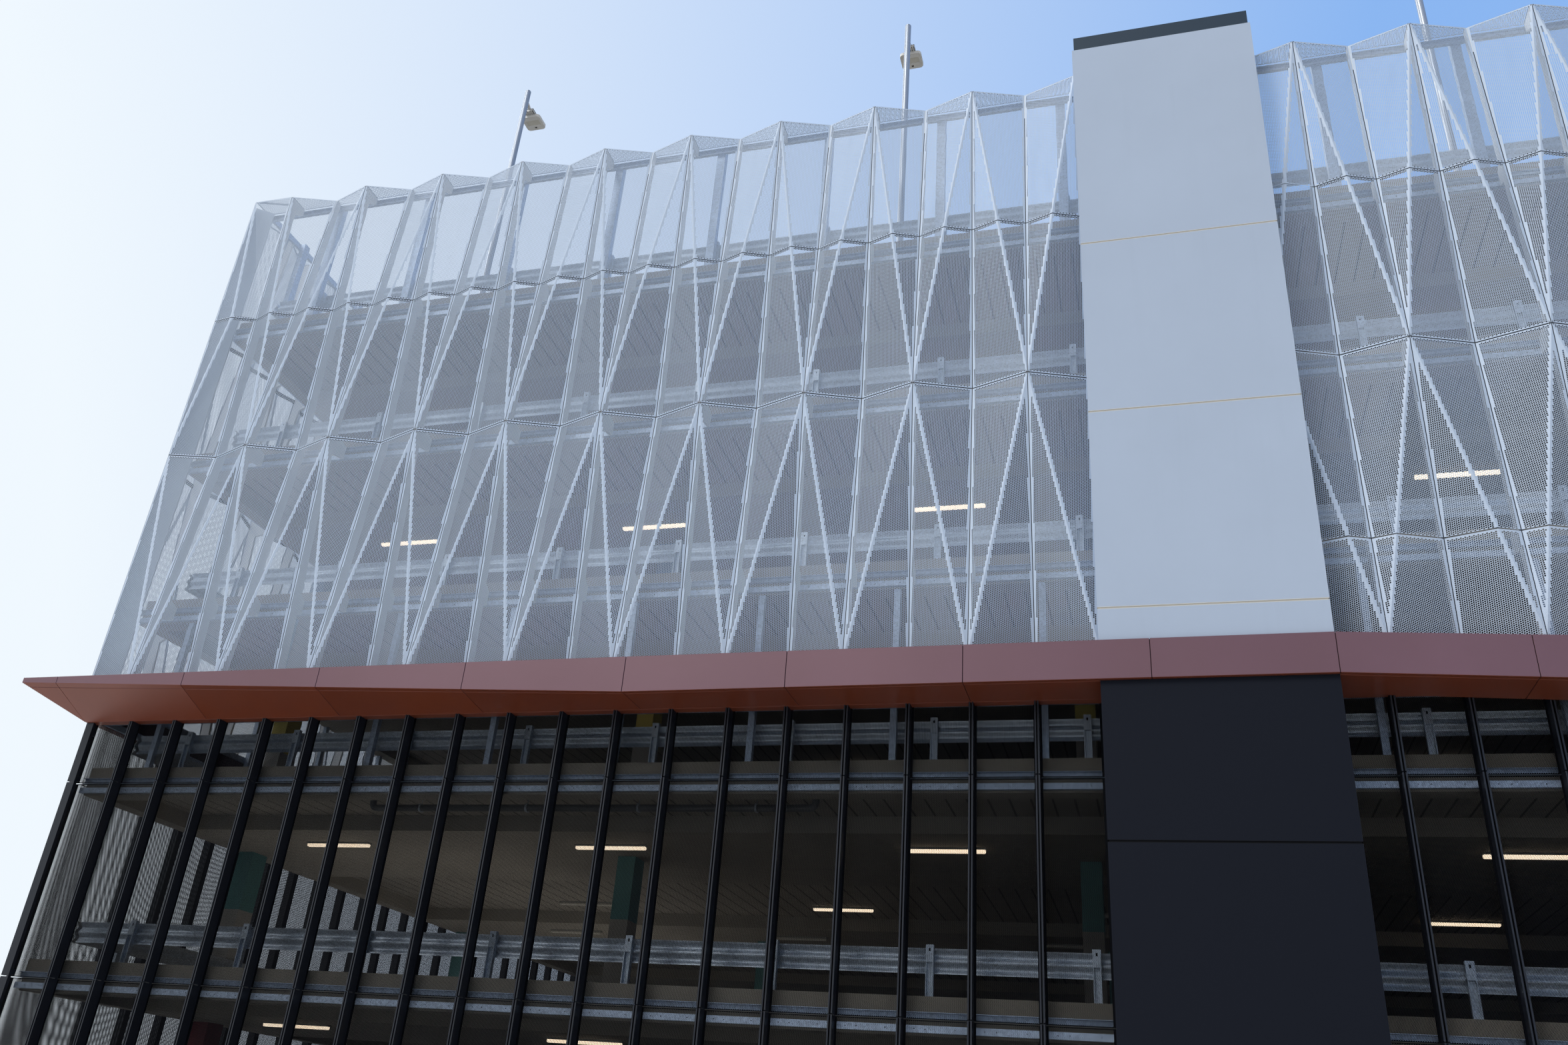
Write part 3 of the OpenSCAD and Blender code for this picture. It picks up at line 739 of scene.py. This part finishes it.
# %% How far the screens stand out
outs = {
    "foot": {"even": 0.021, "odd": 0.336, "corner": 0.24},
    "line": {"even": 0.336, "odd": 0.021, "corner": 0.24},
    "roof": {"even": 0.139, "odd": 0.139, "corner": 0.24},
    "edge": {"even": -0.052, "odd": 0.23, "corner": 0.24},
}
roof_mid_out = 0.3
upright = (math.pi / 2, 0, 0)
gap_h, gap_v, sheet_t = 0.018, 0.012, 0.003
lid_rise = 0.002
rows = {
    "low": (screen_foot, joint(4) - gap_h / 2, "foot", "line"),
    "mid": (joint(4) + gap_h / 2, joint(5) - gap_h / 2, "line", "roof"),
    "top": (joint(5) + gap_h / 2, joint(6), "roof", "edge"),
}
print("rows:", {k: [round(v, 3) for v in r[:2]] for k, r in rows.items()})


# %% One folded sheet
def map_from(piece, corner, axis):
    """Writes a UV map in metres, measured from a corner."""
    uv = piece.data.uv_layers.active.data
    for loop in piece.data.loops:
        c = piece.data.vertices[loop.vertex_index].co
        uv[loop.index].uv = (abs(c.x - corner[0]), abs(c[axis] - corner[1]))


def sheet(row, left, right):
    """One bay of one row, in the wall's frame, with its left joint at x 0."""
    low, high, low_key, high_key = rows[row]
    middle = (bay / 2, 0, (low + high) / 2)
    plane = fresh(bpy.ops.mesh.primitive_plane_add, size=1, location=middle, rotation=upright)
    piece = sized(plane, (bay, high - low, 1))
    place = {
        (0, low): outs[low_key][left], (bay, low): outs[low_key][right],
        (0, high): outs[high_key][left], (bay, high): outs[high_key][right],
    }
    if row == "low":
        # the fold runs from the even joint's top to the odd joint's foot
        rising = left == "even" or right == "odd"
        fan = (0 if rising else bay, high)
        ends = [(bay if rising else 0, low)]
    else:
        peak, plain = (high, low) if row == "mid" else (low, high)
        pick(piece, "EDGE", lambda c: near(c.z, peak))
        bpy.ops.mesh.subdivide(number_cuts=1)
        leave()
        place[(bay / 2, peak)] = roof_mid_out
        at_left = place[(0, plain)] > place[(bay, plain)]
        fan = (0 if at_left else bay, plain)
        ends = [(bay / 2, peak), (bay if at_left else 0, peak)]
    for end in ends:
        pick(piece, "VERT", lambda c: (near(c.x, fan[0]) and near(c.z, fan[1]))
             or (near(c.x, end[0]) and near(c.z, end[1])))
        bpy.ops.mesh.vert_connect()
        leave()
    map_from(piece, fan, 2)
    for (x, z), out in place.items():
        shift(piece, lambda c: near(c.x, x) and near(c.z, z), (0, -out, 0))
    return piece


def lid(left, right):
    """The level sheet on top of one bay, from the edge of the top row back to the girt."""
    middle = (bay / 2, girt_y - 0.5, joint(6) + lid_rise)
    piece = sized(fresh(bpy.ops.mesh.primitive_plane_add, size=1, location=middle), (bay, 1, 1))
    far = {0: outs["edge"][left], bay: outs["edge"][right]}
    for x, out in far.items():
        shift(piece, lambda c: near(c.x, x) and c.y < girt_y - 0.1, (0, 1 - girt_y - out, 0))
    x = 0 if far[0] > far[bay] else bay
    map_from(piece, (x, -far[x]), 1)
    piece.data.materials.append(lid_sheet)
    return piece


def trim(piece, left, right):
    """Cuts a sheet off at both sides, to leave the joints open."""
    for x, inner in ((left, True), (right, False)):
        bisect(piece, (x, 0, 0), (1, 0, 0), inner, not inner)
    return piece


templates = {}
for row in rows:
    for left, right in (("odd", "even"), ("even", "odd"), ("corner", "odd"), ("even", "corner")):
        made = trim(sheet(row, left, right), gap_v / 2, bay - gap_v / 2)
        made.data.materials.append(low_sheet if row == "low" else peak_sheet)
        made = thicken(made, sheet_t)
        if row == "top":
            made = join([trim(lid(left, right), gap_v / 2, bay - gap_v / 2), made], "top")
        templates[row, left, right] = made
print("sheets made:", len(templates), "faces each:", len(made.data.polygons))


# %% Rows of sheets along a wall
def run_of(row, n, first, last, start=None):
    """Sheets of one row over bays first to last - 1 of a wall of n bays."""
    made, i = [], first
    if i == 0:
        made.append(copy(templates[row, "corner", "odd"], (grid(0), 0, 0)))
        i = 1
    elif i % 2 == 0:
        single = copy(templates[row, "even", "odd"], (grid(i), 0, 0))
        made.append(trim(single, start, grid(i + 1)) if start else single)
        i += 1
    stop = last - 1 if last == n else last
    pairs = (stop - i) // 2
    one = copy(templates[row, "odd", "even"], (grid(i), 0, 0))
    two = copy(templates[row, "even", "odd"], (grid(i + 1), 0, 0))
    unit = join([one, two], "unit")
    made.append(apply(unit, "ARRAY", count=pairs, use_relative_offset=False,
                      use_constant_offset=True, constant_offset_displace=(2 * bay, 0, 0)))
    i += 2 * pairs
    if i < stop:
        made.append(copy(templates[row, "odd", "even"], (grid(i), 0, 0)))
    if last == n:
        made.append(copy(templates[row, "even", "corner"], (grid(n - 1), 0, 0)))
    return made


for row in rows:
    left_wing = join(run_of(row, front_bays, 0, pier_bay), f"panels_{row}_left_wing")
    finish_piece(on_wall(left_wing, "front"), "white_screen", f"screen_{row}_left_wing")
    right_wing = run_of(row, front_bays, after_pier, front_bays, pier_end + 0.01)
    right_wing = join(right_wing, f"panels_{row}_right_wing")
    if row == "low":
        halves = []
        for z, inner in ((joint(3) - gap_h / 2, False), (joint(3) + gap_h / 2, True)):
            halves.append(copy(right_wing))
            bisect(halves[-1], (0, 0, z), (0, 0, 1), inner, not inner)
        discard(right_wing)
        right_wing = join(halves, "panels_low_right_wing")
        right_wing.data.materials.clear()
        right_wing.data.materials.append(cut_sheet)
    finish_piece(on_wall(right_wing, "front"), "white_screen", f"screen_{row}_right_wing")
for side, n in (("back", front_bays), ("left", side_bays), ("right", side_bays)):
    pieces = [p for row in rows for p in run_of(row, n, 0, n)]
    finish_piece(on_wall(join(pieces, f"panels_{side}"), side), "white_screen", f"screen_{side}")
for made in templates.values():
    discard(made)

# %% [markdown]
# ### Backing strips
# A strip of black rubber runs behind each level joint and follows the zigzag of the vertices. It
# is a long thin grid with a column of vertices at each joint, and each kind of column is pulled
# out to its own distance, a little behind the sheets.


# %% Backing strips
strip_high, strip_t, strip_back = 0.09, 0.004, 0.009


def backing(level, out, first, last, n, mids=None):
    """A strip behind a level joint, from grid line first to last."""
    steps = (last - first) * (2 if mids else 1)
    long_grid = fresh(
        bpy.ops.mesh.primitive_grid_add, x_subdivisions=steps, y_subdivisions=1, size=1,
        location=((grid(first) + grid(last)) / 2, 0, level), rotation=upright,
    )
    piece = sized(long_grid, ((last - first) * bay, strip_high, 1))

    def kind(c):
        i = (c.x - grid(0)) / bay
        if not near(i, round(i), 0.01):
            return "mids"
        return "corner" if round(i) in (0, n) else "even" if round(i) % 2 == 0 else "odd"

    for key, value in {**out, "mids": mids or 0}.items():
        shift(piece, lambda c: near(c.y, 0) and kind(c) == key, (0, strip_back - value, 0))
    piece.data.materials.append(gasket)
    return thicken(piece, strip_t)


strips = []
for side, n, spans in (
    ("front", front_bays, [(0, pier_bay), (after_pier + 1, front_bays)]),
    ("back", front_bays, [(0, front_bays)]),
    ("left", side_bays, [(0, side_bays)]),
    ("right", side_bays, [(0, side_bays)]),
):
    for first, last in spans:
        strips.append(on_wall(backing(joint(4), outs["line"], first, last, n), side))
        strips.append(on_wall(backing(joint(5), outs["roof"], first, last, n, roof_mid_out), side))
finish_piece(join(strips, "backing_strips"), "dark_flashing")

# %% [markdown]
# ## Canopy
# The canopy is clad in folded cassettes with open joints. Its section changes all along: the
# fascia is thin at the tips, deepens to the two bends, and drops towards the right. Each cassette
# starts as a box, and its eight corners are carried to the section at its two ends. A groove is
# sunk where the fascia's return meets the soffit panel. A dark core shows in the joints.

# %% Canopy's section
canopy_out, tip_out, tip_h, fascia_h = 0.753, 0.78, 0.085, 0.526
canopy_fall, open_half, core_in, core_tip = 0.058, 0.004, 0.012, 0.02
groove_at, groove_d = (0.114, 0.122), 0.015
bend_x = 11.55 * bay
bend_x2 = front_l - bend_x


def clamp(x, low, high):
    return min(max(x, low), high)


def lerp(a, b, t):
    return a + (b - a) * t


def section(x, t):
    """Place along the wall, top and bottom of the canopy at x, and at depth t from the fascia."""
    fall = canopy_fall * (clamp(x, pier_end, bend_x2) - pier_end)
    from_tip = min(x, front_l - x) + tip_out
    height = lerp(tip_h, fascia_h, min(1, from_tip / (bend_x + tip_out)))
    top = lerp(canopy_top - fall, canopy_top, t)
    bottom = lerp(canopy_top - fall - height, canopy_under - fall, t)
    return lerp(x, clamp(x, 0, front_l), t), top, bottom


def length_of(x0, x1, set_in, *materials):
    """A length of the canopy, set in from its outer faces."""
    piece = box((x0, -canopy_out, canopy_under), (x1, 0, canopy_top), *materials)
    for x in (x0, x1):
        for t in (0, 1):
            along, top, bottom = section(x, t)
            out = -set_in if t == 0 else 0
            for z, new in ((canopy_top, top - set_in), (canopy_under, bottom + set_in)):
                y = -canopy_out * (1 - t)
                shift(piece, lambda c: near(c.x, x) and near(c.y, y) and near(c.z, z),
                      (along - x, -out, new - z))
    return piece


def cassette(x0, x1):
    """One folded panel of the canopy, with its groove."""
    piece = length_of(x0 + open_half, x1 - open_half, 0, rust_cladding, gasket)
    groove = [-canopy_out * (1 - t) for t in groove_at]
    cut(piece, "y", *groove)

    def in_groove(c):
        t = 1 + c.y / canopy_out
        _, top, bottom = section(c.x, t)
        return groove[0] < c.y < groove[1] and near(c.z, bottom, 0.02)

    sink(piece, in_groove, (0, 0, groove_d), material=1)
    return smooth(round_edges(piece, 0.003), 25)


joints_left = [-0.08, 2.81, 5.7, 8.6, 11.55, 14.3, 17.08, 19.81, pier_end / bay, 24.76, 27.19]
joints_right = [32.57, 35.47, 38.36]
fascia_joints = [-tip_out] + [j * bay for j in joints_left] + [bend_x2]
fascia_joints += [j * bay for j in joints_right] + [front_l + 0.08 * bay, front_l + tip_out]
cladding = []
for x0, x1 in zip(fascia_joints, fascia_joints[1:]):
    cladding.append(cassette(x0, x1))
    ends = max(x0, -tip_out + core_tip), min(x1, front_l + tip_out - core_tip)
    cladding.append(length_of(*ends, core_in, gasket))
band = box((0, 0, canopy_under), (front_l, girt_y, canopy_top), rust_cladding)
cladding.append(round_edges(band, 0.004))
front_canopy = join(cladding, "canopy_cladding_front")
back_canopy = copy(front_canopy)
back_canopy.name = back_canopy.data.name = "canopy_cladding_back"
finish_piece(on_wall(front_canopy, "front"), "terracotta", "canopy_front")
finish_piece(on_wall(back_canopy, "back"), "terracotta", "canopy_back")

# %% [markdown]
# ### Bands at the ends
# The same cladding runs across the two ends as a flat band. One panel is made and copied, in
# front of a dark core.

# %% Bands at the ends
panels = 12
width = (side_l - 2 * girt_y) / panels
one = box((girt_y + open_half, 0, canopy_under),
          (girt_y + width - open_half, girt_y, canopy_top), rust_cladding)
round_edges(one, 0.004)
bands = []
for side in ("left", "right"):
    row = [copy(one, (i * width, 0, 0)) for i in range(panels)]
    core = box((girt_y, core_in, canopy_under + core_in),
               (side_l - girt_y, girt_y, canopy_top - core_in), gasket)
    round_edges(core, 0.002)
    bands.append(on_wall(join(row + [core], "band"), side))
discard(one)
finish_piece(join(bands, "end_cladding"), "terracotta", "end_bands")

# %% [markdown]
# ## Barriers
# A crash barrier runs along every deck, a little inside the screens. Its rail starts as a grid,
# each row of it is moved by a cosine to make two humps, and Solidify gives the sheet its
# thickness. One post, a channel with a slotted top and a foot plate, is copied along the lines.

# %% Barrier rail
rail_h, rail_mid, rail_t, hump_half, rail_rows = 0.31, 0.45, 0.0035, 0.025, 20
post_first, post_gap = 1.05, 2.06
rail_ends = {"front": (0.44, 0.804, front_l), "left": (0.72, 0.44, side_l)}
rail_ends["back"], rail_ends["right"] = rail_ends["front"], rail_ends["left"]


def rail(length):
    """A rail from x 0, with its outer side at y 0 and its middle at z 0."""
    flat_rail = fresh(
        bpy.ops.mesh.primitive_grid_add, x_subdivisions=1, y_subdivisions=rail_rows, size=1,
        location=(length / 2, 0, 0), rotation=upright,
    )
    piece = sized(flat_rail, (length, rail_h, 1))
    for i in range(rail_rows + 1):
        z = (i / rail_rows - 0.5) * rail_h
        hump = hump_half * (1 - math.cos(4 * math.pi * i / rail_rows))
        shift(piece, lambda c: near(c.z, z), (0, hump, 0))
    piece.data.materials.append(zinc_rail)
    return smooth(thicken(piece, rail_t), 50)


rails = []
for side, (y, end, length) in rail_ends.items():
    one = rail(length - 2 * end)
    for k in range(1, 6):
        rails.append(on_wall(copy(one, (end, y, deck_top(k) + rail_mid)), side))
    discard(one)
finish_piece(join(rails, "barrier_waves"), "galvanised", "barrier_rails")

# %% Barrier posts
face_y, post_top, foot_t = -0.07, 0.64, 0.012
channel_top, slot_low, slot_high = 0.44, 0.56, 0.6
post = box((-0.05, face_y, foot_t), (0.05, 0, post_top), zinc_rail, gasket)
cut(post, "z", channel_top, slot_low, slot_high)
cut(post, "x", -0.012, 0.012)
sink(post, lambda c: near(c.y, face_y) and c.z < channel_top, (0, 0.05, 0), inset=0.012)
sink(post, lambda c: near(c.y, face_y) and near(c.x, 0) and slot_low < c.z < slot_high,
     (0, 0.012, 0), material=1)
foot = box((-0.08, face_y, 0), (0.08, 0.05, foot_t), zinc_rail, gasket)
cut(foot, "x", -0.06, 0.06)
post = join([foot, post], "post")
for name, low, high in (("lower", 1, 2), ("upper", 3, 4), ("roof", 5, 5)):
    posts = []
    for k in range(low, high + 1):
        for side, (y, end, length) in rail_ends.items():
            x = end + post_first
            while x <= length - end:
                posts.append(on_wall(copy(post, (x, y, deck_top(k))), side))
                x += post_gap
    finish_piece(join(posts, f"posts_{name}"), "galvanised", f"barrier_posts_{name}")
discard(post)

# %% [markdown]
# ## Lights
# The strip lights sit in rows against the undersides of the decks. Each has a shallow tray and an
# opal cover with rounded edges. On each storey the row nearest the front is lit, and so are two
# lights of the second row. On the roof stand eight lamps, each with a flat head on a short arm
# that reaches in over the deck.

# %% Strip lights
strip_l, strip_w, strip_h, tray_h = 1.28, 0.11, 0.075, 0.03
beam_d, slab_d = 0.46, 0.2


def strip(cover):
    """One strip light, with its top at z 0."""
    tray = box((-strip_l / 2, -strip_w / 2, -tray_h), (strip_l / 2, strip_w / 2, 0), tray_paint)
    sink(tray, lambda c: near(c.z, -tray_h), (0, 0, 0.012), inset=0.006)
    bar = box((-strip_l / 2 + 0.01, -0.045, -strip_h), (strip_l / 2 - 0.01, 0.045, -0.02), cover)
    round_edges(bar, 0.02, 3)
    return join([tray, bar], "strip")


def storey_lights(x, y, under):
    """Places of one light, on all the storeys and at both ends of the building."""
    return [(side, (x, y, deck_top(k) - under)) for k in range(1, 6) for side in ("front", "back")]


strip_rows = [
    (opal_lit, 3.32, beam_d, (3.041, 8.3, 13.9, 22.01, 27.3, 32.6)),
    (opal_lit, 9.65, slab_d, (10.774, 22.228)),
    (opal_off, 9.65, slab_d, (5.047, 16.501, 27.955, 33.682)),
    (opal_off, 11.7, beam_d, (3.9, 9.3, 15.2, 20.4, 26.3, 31.7)),
]
strips = []
for cover, y, under, xs in strip_rows:
    one = strip(cover)
    for x in xs:
        strips += [on_wall(copy(one, at), side) for side, at in storey_lights(x, y, under)]
    discard(one)
finish_piece(join(strips, "opal_lights"), "lamp_glass", "strip_lights")

# %% Roof lamps
lamp_h, pole_r, lamp_y = 6.13, 0.062, 1.04
foot_h, boss_top, cap_z, rim_h = 0.025, 0.425, 0.3, 0.015
head_z, neck_z, head_y, head_end, half_w = 5.62, 5.69, 0.25, 0.63, 0.21
pole = settle(fresh(
    bpy.ops.mesh.primitive_cylinder_add, vertices=20, radius=3 * pole_r, depth=foot_h,
    location=(0, 0, foot_h / 2),
))
pole.data.materials.append(pole_paint)
sink(pole, lambda c: near(c.z, foot_h), (0, 0, boss_top - foot_h), inset=2 * pole_r - 0.012)
sink(pole, lambda c: near(c.z, boss_top), (0, 0, lamp_h - boss_top - cap_z), inset=0.014)
sink(pole, lambda c: near(c.z, lamp_h - cap_z), (0, 0, cap_z - rim_h), inset=-0.012)
sink(pole, lambda c: near(c.z, lamp_h - rim_h), (0, 0, rim_h), inset=0.01)
arm = box((-0.03, 0.03, 5.74), (0.03, 0.24, 5.8), lamp_paint)
shift(arm, lambda c: c.y < 0.1, (0, 0, 0.07))
round_edges(arm, 0.012, 2)
neck = box((-0.1, 0.16, neck_z), (0.1, 0.38, 5.77), lamp_paint)
cut(neck, "x", *[-0.08 + 0.02 * i for i in range(9)])
for level, depth in ((5.77, -0.02), (neck_z, 0.02)):
    sink(neck, lambda c: near(c.z, level) and round((c.x + 0.09) / 0.02) % 2 == 1, (0, 0, depth))
head = box((-half_w, head_y, head_z), (half_w, head_end, neck_z), lamp_paint, opal_off, gasket)
pick(head, "EDGE", lambda c: near(abs(c.x), half_w)
     and (near(c.y, head_y) or near(c.y, head_end)))
bpy.ops.mesh.bevel(offset=0.07, segments=5, affect="EDGES")
leave()
glass_y0, glass_y1, glass_x = 0.36, 0.5, 0.15
sink(head, lambda c: near(c.z, neck_z), (0, 0, 0.012), inset=0.03)
sink(head, lambda c: near(c.z, head_z), (0, 0, 0.006), inset=0.022)
cut(head, "y", glass_y0, glass_y1)
cut(head, "x", -glass_x, glass_x)
sink(head, lambda c: near(c.z, head_z + 0.006) and glass_y0 < c.y < glass_y1
     and abs(c.x) < glass_x, (0, 0, 0.01), material=1)
dot = box((-0.02, 0.55, head_z), (0.02, 0.58, 5.63), gasket)
round_edges(dot, 0.004)
round_edges(head, 0.005, 2, 50)
lamp = join([pole, arm, neck, dot, head], "lamp")
lamps = []
for side in ("front", "back"):
    for x in (5.8 * bay, 15.4 * bay, front_l - 15.4 * bay, front_l - 5.8 * bay):
        lamps.append(on_wall(copy(lamp, (x, lamp_y, deck_top(5))), side))
discard(lamp)
finish_piece(join(lamps, "roof_lights"), "lamp_steel", "roof_lamps")

# %% [markdown]
# ## Drain pipe
# One pipe crosses under the second deck with both ends turned up to the slab. A circle is extruded
# down from the slab, spun a quarter turn into an elbow, extruded along, and spun up again. Four
# straps on rods carry it.

# %% Drain pipe
px0, px1, py, pz = 4.9, 12.32, 1.4, 6.145
pipe_r, bend_r, wall_t = 0.055, 0.09, 0.004
slab = pz + 0.15


def draw_out(*move):
    """Extrudes the ring that is selected."""
    bpy.ops.mesh.extrude_region_move(TRANSFORM_OT_translate={"value": move})


def elbow(x):
    """Spins the ring that is selected a quarter turn about a level axis at x."""
    bpy.ops.mesh.spin(steps=6, angle=math.pi / 2, center=(x, py, pz + bend_r), axis=(0, 1, 0))


ring = {"vertices": 20, "radius": pipe_r, "location": (px0, py, slab)}
pipe = settle(fresh(bpy.ops.mesh.primitive_circle_add, **ring))
pipe.data.materials.append(pipe_paint)
pick(pipe, "EDGE", lambda c: True)
draw_out(0, 0, pz + bend_r - slab)
elbow(px0 + bend_r)
draw_out(px1 - px0 - 2 * bend_r, 0, 0)
elbow(px1 - bend_r)
draw_out(0, 0, slab - pz - bend_r)
bpy.ops.mesh.select_all(action="SELECT")
bpy.ops.mesh.normals_make_consistent(inside=False)
leave()
smooth(thicken(pipe, wall_t), 40)
hangers, strap_in = [], 0.9
for i in range(4):
    x = px0 + strap_in + i * (px1 - px0 - 2 * strap_in) / 3
    strap = box((x - 0.015, py - 0.066, pz - 0.062), (x + 0.015, py + 0.066, pz + 0.062), zinc_rail)
    pick(strap, "EDGE", lambda c: near(c.x, x))
    bpy.ops.mesh.bevel(offset=0.035, segments=4, affect="EDGES")
    leave()
    rod = box((x - 0.006, py - 0.006, pz + 0.06), (x + 0.006, py + 0.006, slab), zinc_rail)
    hangers += [strap, round_edges(rod, 0.002)]
pipe = join([pipe] + hangers, "pipe_run")
pipe.matrix_world = wall["front"]
finish_piece(settle(pipe), "grey_pipe", "drain_pipe")

# %% [markdown]
# ## Setting
# A pale floor catches the building's shadow. The world lights the building from all round, a broad
# sun from the upper left shades the folds, and a lower one comes from the left. Two lights that
# the camera doesn't see stand above the first deck's left end for the daylight there. The pale sky
# behind, deeper to the right, is the world's colour for camera, glossy and transmission rays.

# %% Floor, lights and world
fill = 0.6
floor = fresh(bpy.ops.mesh.primitive_plane_add, size=400, location=(0, 0, -0.005))
floor.name = "floor"
f = Finish("floor_paint")
tone = f.noise(0.05, detail=2)
floor.data.materials.append(
    f.done(Base_Color=f.mix(tone, (0.6, 0.61, 0.62), (0.64, 0.65, 0.66)), Roughness=0.9)
)

for name, energy, softness, way in (
    ("sun", 1.45, 25, (0.55, 0.8, -0.9)),
    ("side_sun", 1.9, 12, (0.85, -0.15, -0.5)),
):
    sun_data = bpy.data.lights.new(name, "SUN")
    sun_data.energy, sun_data.angle = energy, math.radians(softness)
    sun = bpy.data.objects.new(name, sun_data)
    sun.rotation_euler = Vector(way).to_track_quat("-Z", "Y").to_euler()
    bpy.context.scene.collection.objects.link(sun)

for x0, x1, power in ((-16.6, -11, 105), (-11, -6, 10)):
    glow = bpy.data.lights.new("deck_glow", "AREA")
    glow.shape, glow.size, glow.size_y, glow.energy = "RECTANGLE", x1 - x0, 13, power
    glow.color = (1, 0.96, 0.9)
    lamp = bpy.data.objects.new("deck_glow", glow)
    place = Matrix.Translation(((x0 + x1) / 2, -8.5, 3.6))
    lamp.matrix_world = place @ Matrix.Rotation(math.pi, 4, "X")
    lamp.visible_camera = lamp.visible_glossy = False
    bpy.context.scene.collection.objects.link(lamp)

world = bpy.data.worlds.new("studio")
bpy.context.scene.world = world
f = Finish("studio", world)


def sky(colour, strength=1.0):
    return f.node("Background", sockets={0: (*colour, 1), 1: strength})


ray = [f.node("LightPath", out=f"Is {kind} Ray") for kind in ("Camera", "Glossy", "Transmission")]
look = f.node("TexCoord", out="Generated")
to_right = f.node("VectorMath", {"operation": "DOT_PRODUCT"}, {0: look, 1: across}, out="Value")
behind = f.node("MixShader", sockets={
    0: to_right.between(-0.5, 0.4), 1: sky((0.87, 0.94, 1)), 2: sky((0.26, 0.47, 0.88)),
})
mixed = f.node("MixShader", sockets={
    0: ray[0].most(ray[1]).most(ray[2]), 1: sky((0.93, 0.96, 1), fill), 2: behind,
})
f.node("OutputWorld", sockets={"Surface": mixed})
bpy.context.scene.view_settings.view_transform = "Standard"
print("setting ready:", len(bpy.data.lights), "lights, world", fill)
